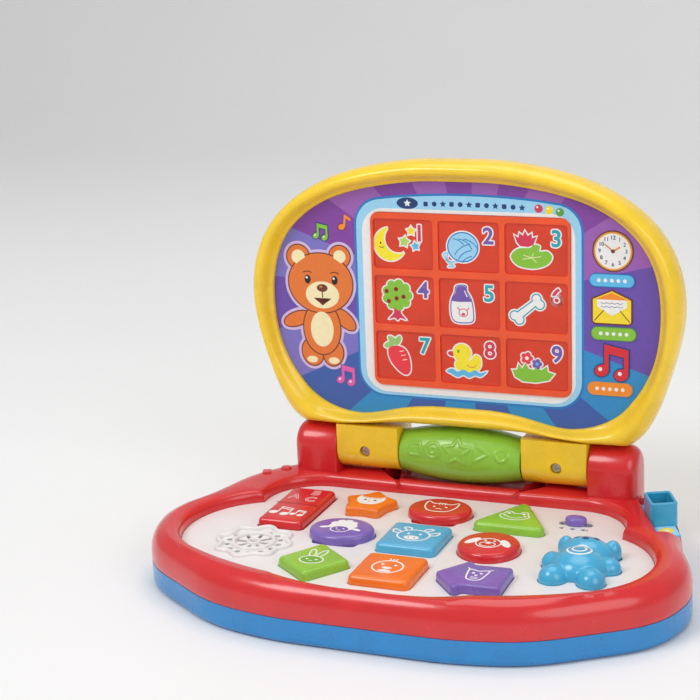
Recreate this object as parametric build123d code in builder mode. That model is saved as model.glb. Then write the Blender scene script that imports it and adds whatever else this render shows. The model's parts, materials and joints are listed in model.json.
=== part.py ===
from build123d import *
import os
from math import cos, radians, sin

os.makedirs("parts", exist_ok=True)

# Toy laptop: a tray-like base with a keypad, and a lid with a light-up picture panel on a rear hinge.
# Millimetres. X to the right, Y to the rear, Z up. The origin is under the middle of the whole toy.

# Driving dimensions
hinge_y = 55.0          # hinge axis, behind the origin
hinge_z = 47.0          # hinge axis, above the table
lid_lean = 2.0          # degrees past upright when the lid stands open
parting_z = 14.0        # seam between the lower and upper case
rim_z = 33.0            # crown of the rim round the keypad
deck_z = 26.0           # top of the keypad deck
deck_thick = 2.5
wall = 2.4              # moulded wall thickness
gap = 0.3               # clearance round moving pieces

tower_inner = 75.5      # hinge towers, distance from the middle
tower_outer = 103.0
tower_r = 13.5
barrel_r = 12.5         # lid barrels that turn between the towers
wall_y = 13.3           # front of the wall behind the barrels, from the hinge axis
wall_top_z = 40.0
roller_half = 36.6      # half length of the roller
roller_end_r = 12.3
roller_mid_r = 17.0

lid_half_thick = 13.0
panel_w = 4.0           # front of the picture panel, in front of the hinge plane

key_top_z = 31.0
key_travel = 2.5


def plan(z):
    """Horizontal plane at height z, centred on the hinge axis."""
    return Plane((0, hinge_y, z))


def lid_at(w):
    """Plane parallel to the lid, w in front of the hinge axis, with its Y axis up the lid."""
    lean = radians(lid_lean)
    return Plane(
        origin=(0, hinge_y - w * cos(lean), hinge_z + w * sin(lean)),
        x_dir=(1, 0, 0),
        z_dir=(0, -cos(lean), sin(lean)),
    )


def across(x):
    """Plane square to the hinge axis at x; its X axis points to the rear and its Y axis up."""
    return Plane(origin=(x, hinge_y, hinge_z), x_dir=(0, 1, 0), z_dir=(1, 0, 0))


def save(part, name):
    part.label = name
    export_step(part, f"parts/{name}.step")


# Outlines, measured from the hinge axis
flat = 12.0             # half length of the straight stretch where an outline crosses the middle
base_half = [
    (flat, 22), (58, 18.5), (96, 11.5), (115, -3), (129, -23), (138, -52), (143, -66),
    (149.2, -82), (149, -103), (138, -127), (114, -146), (86, -163), (50, -171.5), (flat, -172.5),
]
lid_half = [
    (flat, 171), (45, 168), (86, 155.5), (116, 130), (127, 93), (123.5, 68), (117, 46), (108, 25),
]


def grown(curve, amount, steps=14):
    """A curve beside a clockwise one, moved outward by amount."""
    points = []
    for i in range(steps + 1):
        at = curve @ (i / steps)
        along = curve % (i / steps)
        points.append((at.X - along.Y * amount, at.Y + along.X * amount))
    return Spline(points, tangents=(curve % 0, curve % 1))


def case_outline(amount=0.0):
    """Cloud-shaped outline of the base, grown by amount."""
    with BuildSketch() as s:
        with BuildLine():
            half = Spline(base_half, tangents=((1, 0), (-1, 0)), mode=Mode.PRIVATE)
            edge = grown(half, amount, 26)
            Line((0, (edge @ 0).Y), edge @ 0)
            Line(edge @ 1, (0, (edge @ 1).Y))
            mirror(about=Plane.YZ)
        make_face()
    return s.sketch


def deck_outline(amount=0.0):
    """Keypad deck: a side lobe each side of a broad front, meeting in four cusps."""
    with BuildSketch() as s:
        with BuildLine():
            l1 = Line((0, -18), (78, -18))
            l2 = ThreePointArc(l1 @ 1, (97, -27), (105, -52))
            l3 = ThreePointArc(l2 @ 1, (131, -94), (106, -136))
            l4 = ThreePointArc(l3 @ 1, (62, -153), (0, -157))
            mirror(about=Plane.YZ)
        make_face()
        if amount:
            offset(amount=amount, kind=Kind.ARC)
    return s.sketch


def lid_outline(amount=0.0):
    """Bean-shaped outline of the lid, flat along the hinge."""
    with BuildSketch() as s:
        with BuildLine():
            side = Spline(lid_half, tangents=((1, 0), (-0.55, -1)), mode=Mode.PRIVATE)
            corner = TangentArc(side @ 1, (97, 14.5), tangent=side % 1, mode=Mode.PRIVATE)
            l1 = grown(side, amount)
            l2 = grown(corner, amount, 3)
            Line((0, (l1 @ 0).Y), l1 @ 0)
            Line(l2 @ 1, (0, (l2 @ 1).Y))
            mirror(about=Plane.YZ)
        make_face()
    return s.sketch


def panel_outline(amount=0.0):
    """Window of the bezel: an egg on its side whose lower edge rises over the roller."""
    with BuildSketch() as s:
        with BuildLine():
            points = [(flat, 159), (45, 156), (84, 144), (106, 124), (114.5, 93), (111, 62), (97, 37)]
            upper = Spline(points, tangents=((1, 0), (-0.8, -1)), mode=Mode.PRIVATE)
            lower = Spline(
                [upper @ 1, (66, 21.5), (flat, 28.5)],
                tangents=(upper % 1, (-1, 0)),
                mode=Mode.PRIVATE,
            )
            l1 = grown(upper, amount)
            l2 = grown(lower, amount)
            Line((0, (l1 @ 0).Y), l1 @ 0)
            Line(l2 @ 1, (0, (l2 @ 1).Y))
            mirror(about=Plane.YZ)
        make_face()
    return s.sketch


# Keys: name, plan position and shape. Every key is a cap, a wider flange under the deck and a stem.
key_row_1 = -47.0
key_row_2 = -87.0
key_row_3 = -131.0
key_column = 42.0
keys = {
    "star_key": (-key_column, key_row_1 + 1),
    "cat_key": (0, key_row_1 + 2),
    "triangle_key": (key_column + 2, key_row_1 + 1),
    "sheep_key": (-key_column, key_row_2),
    "cow_key": (0, key_row_2),
    "dog_key": (key_column, key_row_2),
    "rhombus_key": (-key_column + 2, key_row_3),
    "chick_key": (2, key_row_3),
    "arrow_key": (key_column + 5, key_row_3 + 2),
}


def key_shape(name, grow=0.0):
    """Outline of one key's cap about its own centre, grown evenly by grow."""
    with BuildSketch() as s:
        if name == "star_key":
            with BuildLine():
                tips = [Vector(17, 0).rotate(Axis.Z, 90 + 72 * i) for i in range(5)]
                waists = [Vector(12, 0).rotate(Axis.Z, 126 + 72 * i) for i in range(5)]
                Polyline(*[p for pair in zip(tips, waists) for p in pair], close=True)
            make_face()
            fillet(s.vertices(), 2.5)
        elif name in ("cat_key", "sheep_key"):
            with BuildLine():
                turns = [radians(90 - 45 * i) for i in range(5)]
                half = Spline(
                    [((18.5 + grow) * cos(t), (15 + grow) * sin(t)) for t in turns],
                    tangents=((1, 0), (-1, 0)),
                )
                mirror(half, about=Plane.YZ)
            make_face()
        elif name == "dog_key":
            Circle(17)
        elif name == "triangle_key":
            with BuildLine():
                Polyline((0, 24), (-23, -16), (23, -16), close=True)
            make_face()
            fillet(s.vertices(), 4)
        elif name == "rhombus_key":
            with BuildLine():
                Polyline((-20, -3), (-3, 22), (20, 3), (3, -21), close=True)
            make_face()
            fillet(s.vertices(), 3)
        elif name == "arrow_key":
            with BuildLine():
                head = [(-2, -13.5), (-3.5, -20), (-20, -1), (-5, 19.5), (-3, 13)]
                Polyline(*head, (18, 14), (18.5, -13.5), close=True)
            make_face()
            fillet(s.vertices(), 2.4)
        else:
            RectangleRounded(34, 34, 3.5)
        if grow and name not in ("cat_key", "sheep_key"):
            offset(amount=grow)
    return s.sketch


def key_cap(name, position, shape, crown):
    """A hollow moulded key cap with a retaining flange and a stem."""
    x, y = position
    with BuildPart() as cap:
        with BuildSketch(plan(foot_z)):
            with Locations((x, y)):
                add(shape(flange))
        extrude(amount=flange_thick)
        with BuildSketch(plan(foot_z)):
            with Locations((x, y)):
                add(shape(0))
        extrude(amount=key_top_z - foot_z)
        fillet(cap.faces().sort_by(Axis.Z)[-1].edges(), crown)
        with BuildSketch(plan(foot_z)):
            with Locations((x, y)):
                add(shape(-2.2))
        extrude(amount=key_top_z - foot_z - 2.4, mode=Mode.SUBTRACT)
        with BuildSketch(plan(stem_z)):
            with Locations((x, y)):
                Circle(4)
        extrude(amount=key_top_z - stem_z - 2.0)
    save(cap.part, name)


foot_z = deck_z - deck_thick - 2.2      # underside of the key flanges
flange = 1.1            # how far a key's flange reaches under the deck
flange_thick = 2.0
stem_z = 18.6           # lower end of the key stems
board_z = 10.0          # underside of the main circuit board
board_thick = 1.6
dome_top = stem_z - key_travel - 0.3

rocker_at = (-80, -61)
rocker_size = (27, 52)
rocker_z = 21.3         # height of the rocker's trunnions
trunnion_r = 1.5
bracket_x = 16.0        # brackets for them, from the rocker's middle
bear_at = (94.5, -99)
power_at = (76, -38)
power_travel = 5.0
speaker_at = (-85, -109)
speaker_r = 19.0

mode_start = (109.6, -5.2)      # rear end of the mode slider's track
mode_end = (131, -50.6)
mode_angle = 25.2               # degrees of the track from the -Y direction
mode_mid = ((mode_start[0] + mode_end[0]) / 2, (mode_start[1] + mode_end[1]) / 2)
mode_floor = 29.0               # bottom of the recess that the slider runs in
mode_travel = 14.0
mode_length = 50.0
mode_width = 15.6
mode_slit = 7.0                 # slits for the slider's tabs, from the track's middle
mode_tab_z = 24.2               # lower end of the tabs


def bear_shape(grow=0.0):
    """Outline of the bear-shaped pad: a head with two ears over a body with four stubby limbs."""
    with BuildSketch() as s:
        Ellipse(15 + grow, 14 + grow)
        with Locations((0, 13)):
            Ellipse(14.5 + grow, 10.5 + grow)
        with Locations((-12.5, 20), (12.5, 20)):
            Circle(4.5 + grow)
        with Locations((-15, 3), (15, 3)):
            Circle(6 + grow)
        with Locations((-10, -15), (10, -15)):
            Circle(7.5 + grow)
    return s.sketch


def rocker_shape(grow=0.0):
    with BuildSketch() as s:
        RectangleRounded(rocker_size[0] + 2 * grow, rocker_size[1] + 2 * grow, 3.5)
    return s.sketch


def mode_plan(z):
    """Horizontal plane at height z on the middle of the mode slider's track, Y along the track."""
    return Plane((mode_mid[0], hinge_y + mode_mid[1], z)).rotated((0, 0, mode_angle))


# Base, case and deck
screw_posts = [(-139.5, -92), (139.5, -92), (-62, -161), (62, -161), (-93, -4), (93, -4)]
head_z = 7.0            # seat of the case screws' heads
battery_room = (66, 34)
battery_y = 2.0
door_thick = 2.2
door_tab_y = -19.5      # screw tab of the battery door
cell_r = 7.25
cell_length = 50.5
cell_z = wall + cell_r + 0.2

ledge = 1.2             # ledge under the edge of the deck
scoop_r = 60.0
pin_r = 6.0             # hinge pins
pin_inner = 64.0        # end of each pin inside the lid's barrel
wire_x = 83.0           # where the wires drop through the left tower

handle_foot_x = 56.25
handle_bar = 18.0
handle_z = 5.0
handle_high = 17.0

with BuildPart() as lower_case:
    with BuildSketch(plan(0)):
        add(case_outline())
    extrude(amount=parting_z)
    fillet(lower_case.faces().sort_by(Axis.Z)[0].edges(), 4)
    with BuildSketch(plan(wall)):
        add(case_outline(-wall))
    extrude(amount=parting_z, mode=Mode.SUBTRACT)
    # posts for the case screws, bored from below for the heads
    with BuildSketch(plan(wall)):
        with Locations(screw_posts):
            Circle(4.2)
    extrude(amount=parting_z - wall)
    with Locations(plan(head_z)):
        with Locations(screw_posts):
            Hole(3.2, depth=head_z)
    with Locations(plan(parting_z)):
        with Locations(screw_posts):
            Hole(1.6, depth=parting_z)
    # battery bay: four walls and an opening in the floor
    with BuildSketch(plan(wall)):
        with Locations((0, battery_y)):
            Rectangle(battery_room[0] + 2 * wall, battery_room[1] + 2 * wall)
            Rectangle(*battery_room, mode=Mode.SUBTRACT)
    extrude(amount=parting_z - wall)
    with BuildSketch(plan(-1)):
        with Locations((0, battery_y)):
            Rectangle(*battery_room)
        with Locations((0, door_tab_y)):
            Rectangle(13.7, 10.3)
    extrude(amount=wall + 1, mode=Mode.SUBTRACT)
    with BuildSketch(plan(wall)):
        with Locations((0, door_tab_y - 1)):
            Circle(4)
    extrude(amount=8)
    with Locations(plan(wall + 8)):
        with Locations((0, door_tab_y - 1)):
            Hole(1.1, depth=8)
    # sockets for the feet of the carrying handle
    with BuildSketch(plan(handle_z - gap / 2)):
        with Locations((-handle_foot_x, 22), (handle_foot_x, 22)):
            Rectangle(handle_bar + gap, 16)
    extrude(amount=parting_z, mode=Mode.SUBTRACT)
save(lower_case.part, "base_lower_case")

with BuildPart() as upper_case:
    with BuildSketch(plan(parting_z)):
        add(case_outline())
    extrude(amount=rim_z - parting_z)
    fillet(upper_case.faces().sort_by(Axis.Z)[-1].edges(), 9)
    # hinge towers
    for side in (-1, 1):
        with BuildSketch(across(min(side * tower_inner, side * tower_outer))):
            with BuildLine():
                top = CenterArc((0, 0), tower_r, 0, 180)
                Line(top @ 0, (tower_r, parting_z + 6 - hinge_z))
                Line((tower_r, parting_z + 6 - hinge_z), (-tower_r, parting_z + 6 - hinge_z))
                Line((-tower_r, parting_z + 6 - hinge_z), top @ 1)
            make_face()
        extrude(amount=tower_outer - tower_inner)
    # low wall behind the lid's barrels, from one tower to the other
    with BuildSketch(plan(rim_z - 9)):
        add(case_outline())
        with Locations((0, wall_y + 20)):
            Rectangle(2 * tower_inner + 4, 40, mode=Mode.INTERSECT)
    extrude(amount=wall_top_z - rim_z + 9)
    # groove that the roller turns in
    with BuildSketch(across(-roller_half - 0.6)):
        Circle(roller_mid_r + 1)
    extrude(amount=2 * roller_half + 1.2, mode=Mode.SUBTRACT)
    # hollow under the rim, leaving a skirt round the deck
    with BuildPart(mode=Mode.PRIVATE) as hollow:
        with BuildSketch(plan(parting_z - 1)):
            add(case_outline(-wall))
        extrude(amount=rim_z - parting_z + 1 - wall)
        fillet(hollow.faces().sort_by(Axis.Z)[-1].edges(), 7)
        with BuildSketch(plan(foot_z)):
            add(deck_outline(wall))
        extrude(amount=rim_z, mode=Mode.SUBTRACT)
        with BuildSketch(across(-roller_half - 0.6 - wall)):
            Circle(roller_mid_r + 1 + wall)
        extrude(amount=2 * (roller_half + 0.6 + wall), mode=Mode.SUBTRACT)
        with BuildSketch(mode_plan(mode_floor - wall)):
            Rectangle(mode_width + 2 * wall, mode_length + 2 * wall)
        extrude(amount=rim_z, mode=Mode.SUBTRACT)
    add(hollow.part, mode=Mode.SUBTRACT)
    # opening for the deck, with a narrow ledge that it rests on
    with BuildSketch(plan(foot_z - 1)):
        add(deck_outline(-ledge))
    extrude(amount=rim_z, mode=Mode.SUBTRACT)
    with BuildSketch(plan(deck_z - deck_thick)):
        add(deck_outline())
    extrude(amount=rim_z, mode=Mode.SUBTRACT)
    # thumb scoop in the middle of the front rim
    with Locations(plan(rim_z + scoop_r - 3)):
        with Locations((0, -168, 0)):
            Sphere(scoop_r, mode=Mode.SUBTRACT)
    # recess for the mode slider, with slits for its two tabs
    with BuildSketch(mode_plan(mode_floor)):
        RectangleRounded(mode_width, mode_length, 1.5)
    extrude(amount=rim_z, mode=Mode.SUBTRACT)
    with BuildSketch(mode_plan(mode_tab_z - 0.2)):
        with Locations((-mode_slit, 0), (mode_slit, 0)):
            Rectangle(1.5, 2 * mode_travel + 13)
    extrude(amount=rim_z, mode=Mode.SUBTRACT)
    # posts that take the case screws
    with BuildSketch(plan(parting_z)):
        with Locations(screw_posts):
            Circle(4.2)
    extrude(amount=rim_z - wall + 0.2 - parting_z)
    with Locations(plan(parting_z + 9)):
        with Locations(screw_posts):
            Hole(1.35, depth=9)
    with BuildSketch(plan(0)):
        with Locations((-handle_foot_x, 22), (handle_foot_x, 22)):
            Rectangle(handle_bar + gap, 16)
    extrude(amount=handle_z + handle_high + gap / 2, mode=Mode.SUBTRACT)
    # bores for the hinge pins, and a shaft for the lid's wires in the left tower
    with BuildSketch(across(-tower_outer + wall)):
        Circle(pin_r + 0.03)
    extrude(amount=2 * (tower_outer - wall), mode=Mode.SUBTRACT)
    with BuildSketch(plan(parting_z)):
        with Locations((-wire_x, 0)):
            Circle(3.2)
    extrude(amount=hinge_z - parting_z, mode=Mode.SUBTRACT)
save(upper_case.part, "base_upper_case")

with BuildPart() as deck:
    with BuildSketch(plan(deck_z - deck_thick)):
        add(deck_outline(-0.15))
        for name, position in keys.items():
            with Locations(position):
                add(key_shape(name, gap), mode=Mode.SUBTRACT)
        with Locations(rocker_at):
            add(rocker_shape(0.7), mode=Mode.SUBTRACT)
        with Locations(bear_at):
            add(bear_shape(gap), mode=Mode.SUBTRACT)
        with Locations(power_at):
            SlotOverall(2 * power_travel + 9, 5, mode=Mode.SUBTRACT)
        with Locations(speaker_at):
            Circle(2, mode=Mode.SUBTRACT)
            with PolarLocations(7.5, 8):
                SlotOverall(7, 2.2, mode=Mode.SUBTRACT)
            with PolarLocations(14.5, 14):
                Circle(1.6, mode=Mode.SUBTRACT)
    extrude(amount=deck_thick)
    # brackets under the deck for the rocker's trunnions
    with BuildSketch(plan(deck_z - deck_thick)):
        with Locations(rocker_at):
            with GridLocations(2 * bracket_x, 0, 2, 1):
                Rectangle(2.4, 7)
    extrude(amount=-4.5)
    with BuildSketch(Plane(origin=(rocker_at[0], hinge_y + rocker_at[1], rocker_z), z_dir=(1, 0, 0))):
        Circle(trunnion_r + 0.1)
    extrude(amount=30, both=True, mode=Mode.SUBTRACT)
save(deck.part, "keyboard_deck")

# Carrying handle: a rounded loop behind the case
with BuildPart() as handle:
    with BuildSketch(plan(handle_z)):
        with Locations((0, 28.5)):
            RectangleRounded(2 * handle_foot_x + handle_bar, 68, 26)
        with Locations((0, 15)):
            RectangleRounded(2 * handle_foot_x - handle_bar, 59, 14, mode=Mode.SUBTRACT)
        with Locations((0, -6)):
            Rectangle(200, 40, mode=Mode.SUBTRACT)
    extrude(amount=handle_high)
    fillet(handle.faces().sort_by(Axis.Z)[0].edges(), 5.5)
    fillet(handle.faces().sort_by(Axis.Z)[-1].edges(), 5.5)
save(handle.part, "carry_handle")

# Battery bay
with BuildPart() as door:
    with BuildSketch(plan(0)):
        with Locations((0, battery_y)):
            Rectangle(battery_room[0] - gap, battery_room[1] - gap)
        with Locations((0, door_tab_y)):
            Rectangle(13.4, 10)
    extrude(amount=door_thick)
    with Locations(plan(1.4)):
        with Locations((0, door_tab_y - 1)):
            Hole(2.8, depth=1.4)
    with Locations(plan(door_thick)):
        with Locations((0, door_tab_y - 1)):
            Hole(1.2, depth=door_thick)
save(door.part, "battery_door")


def pan_screw(plane, spots, head_r, head_high, shank_r, shank_long):
    """Cross-recessed screws at spots on plane; heads face down the plane's normal."""
    with BuildPart() as screw:
        with BuildSketch(plane):
            with Locations(spots):
                Circle(head_r)
        extrude(amount=-head_high)
        chamfer(screw.faces().sort_by(Axis(plane.origin, plane.z_dir))[0].edges(), 0.4)
        with BuildSketch(plane):
            with Locations(spots):
                Circle(shank_r)
        extrude(amount=shank_long)
        with BuildSketch(plane.offset(-head_high)):
            with Locations(spots):
                Rectangle(head_r * 1.2, 0.7)
                Rectangle(0.7, head_r * 1.2)
        extrude(amount=0.9, mode=Mode.SUBTRACT)
    return screw.part


save(pan_screw(plan(1.4), [(0, door_tab_y - 1)], 2.6, 1.2, 1.05, 7), "battery_door_screw")

with BuildPart() as cells:
    for y in (-7.45, 7.45):
        with BuildSketch(Plane(origin=(-cell_length / 2, hinge_y + battery_y + y, cell_z), z_dir=(1, 0, 0))):
            Circle(cell_r)
        extrude(amount=cell_length - 1.5)
        with BuildSketch(
            Plane(origin=(cell_length / 2 - 1.5, hinge_y + battery_y + y, cell_z), z_dir=(1, 0, 0))
        ):
            Circle(2.7)
        extrude(amount=1.5)
save(cells.part, "batteries")

with BuildPart() as contacts:
    for y in (-7.45, 7.45):
        with BuildSketch(Plane(origin=(32.4, hinge_y + battery_y + y, cell_z), z_dir=(-1, 0, 0))):
            Rectangle(10, 10)
        extrude(amount=0.5)
        with BuildSketch(Plane(origin=(31.9, hinge_y + battery_y + y, cell_z), z_dir=(-1, 0, 0))):
            Circle(2)
        extrude(amount=31.9 - cell_length / 2 - 0.05)
        with BuildSketch(Plane(origin=(-32.4, hinge_y + battery_y + y, cell_z), z_dir=(1, 0, 0))):
            Rectangle(10, 10)
        extrude(amount=0.5)
        with BuildSketch(Plane(origin=(-31.9, hinge_y + battery_y + y, cell_z), z_dir=(1, 0, 0))):
            Circle(4.5)
        extrude(amount=31.9 - cell_length / 2 - 0.05, taper=15)
save(contacts.part, "battery_contacts")

save(pan_screw(plan(head_z), screw_posts, 2.9, 1.8, 1.3, 14), "case_screws")

# Electronics in the base
board_top = board_z + board_thick
board_size = (206, 118)
board_at = (6, -84)

with BuildPart() as board:
    with BuildSketch(plan(board_z)):
        with Locations(board_at):
            RectangleRounded(*board_size, 4)
        with Locations(speaker_at):
            Circle(speaker_r + 2, mode=Mode.SUBTRACT)
        with Locations(screw_posts[2:4]):
            Circle(6, mode=Mode.SUBTRACT)
        with Locations((0, door_tab_y)):
            Rectangle(14, 14, mode=Mode.SUBTRACT)
    extrude(amount=board_thick)
save(board.part, "main_circuit_board")

with BuildPart() as chip:
    with BuildSketch(plan(board_z)):
        with Locations((0, -66)):
            Circle(7)
    extrude(amount=-2)
    fillet(chip.faces().sort_by(Axis.Z)[0].edges(), 1.5)
save(chip.part, "sound_chip")

dome_spots = list(keys.values()) + [bear_at] + [(rocker_at[0], rocker_at[1] + y) for y in (-20, 20)]
with BuildPart() as membrane:
    with BuildSketch(plan(board_top)):
        with Locations(dome_spots):
            Circle(10)
        for a, b in (("star_key", "triangle_key"), ("sheep_key", "dog_key"), ("rhombus_key", "arrow_key")):
            with BuildLine():
                Polyline(
                    (keys[a][0], keys[a][1] + 6), (keys[b][0], keys[b][1] + 6),
                    (keys[b][0], keys[b][1] - 6), (keys[a][0], keys[a][1] - 6), close=True,
                )
            make_face()
        with Locations(rocker_at):
            Rectangle(12, 40)
        with Locations(((rocker_at[0] + keys["star_key"][0]) / 2, key_row_1)):
            Rectangle(50, 8)
        with Locations(((keys["dog_key"][0] + bear_at[0]) / 2, -93)):
            Rectangle(52, 10)
        with Locations((0, (key_row_1 + key_row_3) / 2)):
            Rectangle(10, key_row_1 - key_row_3)
    extrude(amount=1)
    with BuildSketch(plan(board_top + 1)):
        with Locations(dome_spots):
            Circle(6)
    extrude(amount=dome_top - board_top - 1, taper=30)
save(membrane.part, "keypad_membrane")

with BuildPart() as frame:
    with BuildSketch(Plane(origin=(speaker_at[0], hinge_y + speaker_at[1], 0), x_dir=(1, 0, 0), z_dir=(0, -1, 0))):
        with BuildLine():
            Polyline(
                (0, 7), (9, 7), (9, 13.5), (16.5, 20), (18.5, 20), (18.5, 22.3), (16, 22.3),
                (16, 21.2), (8.5, 14.7), (0, 14.7), close=True,
            )
        make_face()
    revolve(axis=Axis((speaker_at[0], hinge_y + speaker_at[1], 0), (0, 0, 1)))
save(frame.part, "speaker_frame")

with BuildPart() as cone:
    with BuildSketch(Plane(origin=(speaker_at[0], hinge_y + speaker_at[1], 0), x_dir=(1, 0, 0), z_dir=(0, -1, 0))):
        with BuildLine():
            Polyline(
                (0, 16.6), (5, 16.6), (15.7, 21.8), (15.7, 22.3), (14.6, 22.3), (5, 17.4), (0, 17.4),
                close=True,
            )
        make_face()
    revolve(axis=Axis((speaker_at[0], hinge_y + speaker_at[1], 0), (0, 0, 1)))
save(cone.part, "speaker_cone")

with BuildPart() as power_switch:
    with BuildSketch(plan(board_top)):
        with Locations(power_at):
            Rectangle(16, 7)
    extrude(amount=6)
    with BuildSketch(plan(board_top + 6)):
        with Locations(power_at):
            Rectangle(2.5, 2.5)
    extrude(amount=3)
save(power_switch.part, "power_switch")

with BuildPart() as mode_switch:
    with BuildSketch(mode_plan(22.0)):
        with Locations((-2.5, 0)):
            Rectangle(8, 40)
    extrude(amount=1.2)
    with BuildSketch(mode_plan(22.0)):
        with Locations((-2.5, 0)):
            with GridLocations(0, 14, 1, 3):
                Rectangle(6, 6)
    extrude(amount=-2)
save(mode_switch.part, "mode_switch_board")

with BuildPart() as mode_label:
    with BuildSketch(mode_plan(mode_floor)):
        Rectangle(11.6, mode_length - 2)
    extrude(amount=0.3)
save(mode_label.part, "mode_label")

# Hinge pins, pressed into the towers and turning in the lid's barrels
for side, name in ((-1, "hinge_pin_left"), (1, "hinge_pin_right")):
    with BuildPart() as pin:
        with BuildSketch(across(min(side * pin_inner, side * (tower_outer - wall)))):
            Circle(pin_r)
            if side < 0:
                Circle(2.6, mode=Mode.SUBTRACT)
        extrude(amount=tower_outer - wall - pin_inner)
        if side < 0:
            with BuildSketch(plan(hinge_z - pin_r - 1)):
                with Locations((-wire_x, 0)):
                    Circle(2.2)
            extrude(amount=pin_r + 1, mode=Mode.SUBTRACT)
    save(pin.part, name)

with BuildPart() as loom:
    with BuildLine():
        FilletPolyline(
            (-pin_inner + 0.6, hinge_y, hinge_z),
            (-wire_x, hinge_y, hinge_z),
            (-wire_x, hinge_y, 20),
            (-wire_x, hinge_y - 25, board_top + 0.7),
            radius=(4.5, 9),
        )
    with BuildSketch(Plane(origin=(-pin_inner + 0.6, hinge_y, hinge_z), z_dir=(-1, 0, 0))):
        Circle(1.3)
    sweep()
save(loom.part, "hinge_wire_loom")

# Keys
for name, position in keys.items():
    key_cap(name, position, lambda grow, name=name: key_shape(name, grow), 1.6)

with BuildPart() as rocker:
    with BuildSketch(plan(foot_z + 0.4)):
        with Locations(rocker_at):
            add(rocker_shape())
    extrude(amount=key_top_z - foot_z - 0.4)
    fillet(rocker.faces().sort_by(Axis.Z)[-1].edges(), 1.6)
    with BuildSketch(plan(foot_z)):
        with Locations(rocker_at):
            add(rocker_shape(-2.2))
    extrude(amount=key_top_z - foot_z - 2.4, mode=Mode.SUBTRACT)
    with BuildSketch(Plane(origin=(rocker_at[0] - 18, hinge_y + rocker_at[1], rocker_z), z_dir=(1, 0, 0))):
        Circle(trunnion_r)
    extrude(amount=36)
    with BuildSketch(plan(stem_z)):
        with Locations([(rocker_at[0], rocker_at[1] + y) for y in (-20, 20)]):
            Circle(3)
    extrude(amount=key_top_z - stem_z - 2)
save(rocker.part, "rocker_key")

with BuildPart() as bear:
    with BuildSketch(plan(foot_z)):
        with Locations(bear_at):
            add(bear_shape(flange))
    extrude(amount=flange_thick)
    with BuildSketch(plan(foot_z)):
        with Locations(bear_at):
            add(bear_shape())
    extrude(amount=30 - foot_z)
    with BuildSketch(plan(30)):
        with Locations(bear_at):
            Ellipse(13, 12)
            with Locations((0, 13)):
                Ellipse(12.5, 9)
    extrude(amount=9, taper=15)
    with BuildSketch(plan(foot_z)):
        with Locations(bear_at):
            add(bear_shape(-3))
    extrude(amount=29 - foot_z - 2, mode=Mode.SUBTRACT)
    with BuildSketch(plan(stem_z)):
        with Locations(bear_at):
            Circle(4)
    extrude(amount=29 - stem_z)
save(bear.part, "bear_pad")

with BuildPart() as power:
    with BuildSketch(plan(foot_z)):
        with Locations(power_at):
            Rectangle(14, 9)
    extrude(amount=2)
    with BuildSketch(plan(foot_z)):
        with Locations(power_at):
            SlotOverall(8.4, 4.4)
    extrude(amount=deck_z + gap - foot_z)
    with BuildSketch(plan(deck_z + gap)):
        with Locations(power_at):
            Ellipse(6, 4.2)
    extrude(amount=4)
    fillet(power.faces().sort_by(Axis.Z)[-1].edges(), 1.5)
save(power.part, "power_slider")

with BuildPart() as mode_slider:
    with BuildSketch(mode_plan(mode_floor + 0.5)):
        RectangleRounded(15, 19.4, 2.5)
        RectangleRounded(11.4, 15.4, 1.2, mode=Mode.SUBTRACT)
    extrude(amount=13)
    fillet(mode_slider.faces().sort_by(Axis.Z)[-1].edges(), 0.8)
    with BuildSketch(mode_plan(mode_tab_z)):
        with Locations((-mode_slit, 0), (mode_slit, 0)):
            Rectangle(0.9, 12)
    extrude(amount=mode_floor + 1 - mode_tab_z)
save(mode_slider.part, "mode_slider")

# Lid
panel_mid = (6.0, 90.0)         # middle of the light-up screen, up the lid from the hinge
screen_size = (117.0, 101.0)
cell_pitch = (39.0, 32.6)
cell_size = (36.0, 28.6)
led_board_size = (124.0, 106.0)
led_board_w = -6.0
screw_x = 57.5
axle_r = 2.0
axle_half = 50.0
bevel_r = 5.5           # rounding of the bezel's inner and outer edges


def lid_across(x):
    """Plane square to the hinge axis at x; its Y axis runs up the lid, its X axis to the back."""
    lean = radians(lid_lean)
    return Plane(origin=(x, hinge_y, hinge_z), x_dir=(0, cos(lean), -sin(lean)), z_dir=(1, 0, 0))


def half_barrels(facing):
    """Half of each barrel, with the neck that joins it to the lid. facing is 1 behind, -1 in front."""
    with BuildPart() as halves:
        for side in (-1, 1):
            low = min(side * (roller_half + 0.4), side * (tower_inner - gap))
            with BuildSketch(lid_across(low)):
                with BuildLine():
                    Polyline((0, -barrel_r), (0, 17), (facing * barrel_r, 17), (facing * barrel_r, 0))
                    ThreePointArc(
                        (facing * barrel_r, 0),
                        (facing * barrel_r * sin(radians(45)), -barrel_r * cos(radians(45))),
                        (0, -barrel_r),
                    )
                make_face()
            extrude(amount=tower_inner - gap - roller_half - 0.4)
    return halves.part


def roller_space(amount=0.0):
    """Cylinder round the roller that the lid's shells leave free, grown by amount."""
    with BuildPart() as space:
        with BuildSketch(across(-roller_half - 0.4 - amount)):
            Circle(roller_mid_r + 0.8 + amount)
        extrude(amount=2 * (roller_half + 0.4 + amount))
    return space.part


def barrel_bores():
    """Bores for the hinge pins and the roller's axle, along the hinge axis."""
    with BuildPart() as bores:
        for side in (-1, 1):
            with BuildSketch(across(min(side * (pin_inner - 1), side * tower_inner))):
                Circle(pin_r + 0.08)
            extrude(amount=tower_inner - pin_inner + 1)
        with BuildSketch(across(-axle_half - 0.1)):
            Circle(axle_r + 0.02)
        extrude(amount=2 * axle_half + 0.2)
    return bores.part


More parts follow.
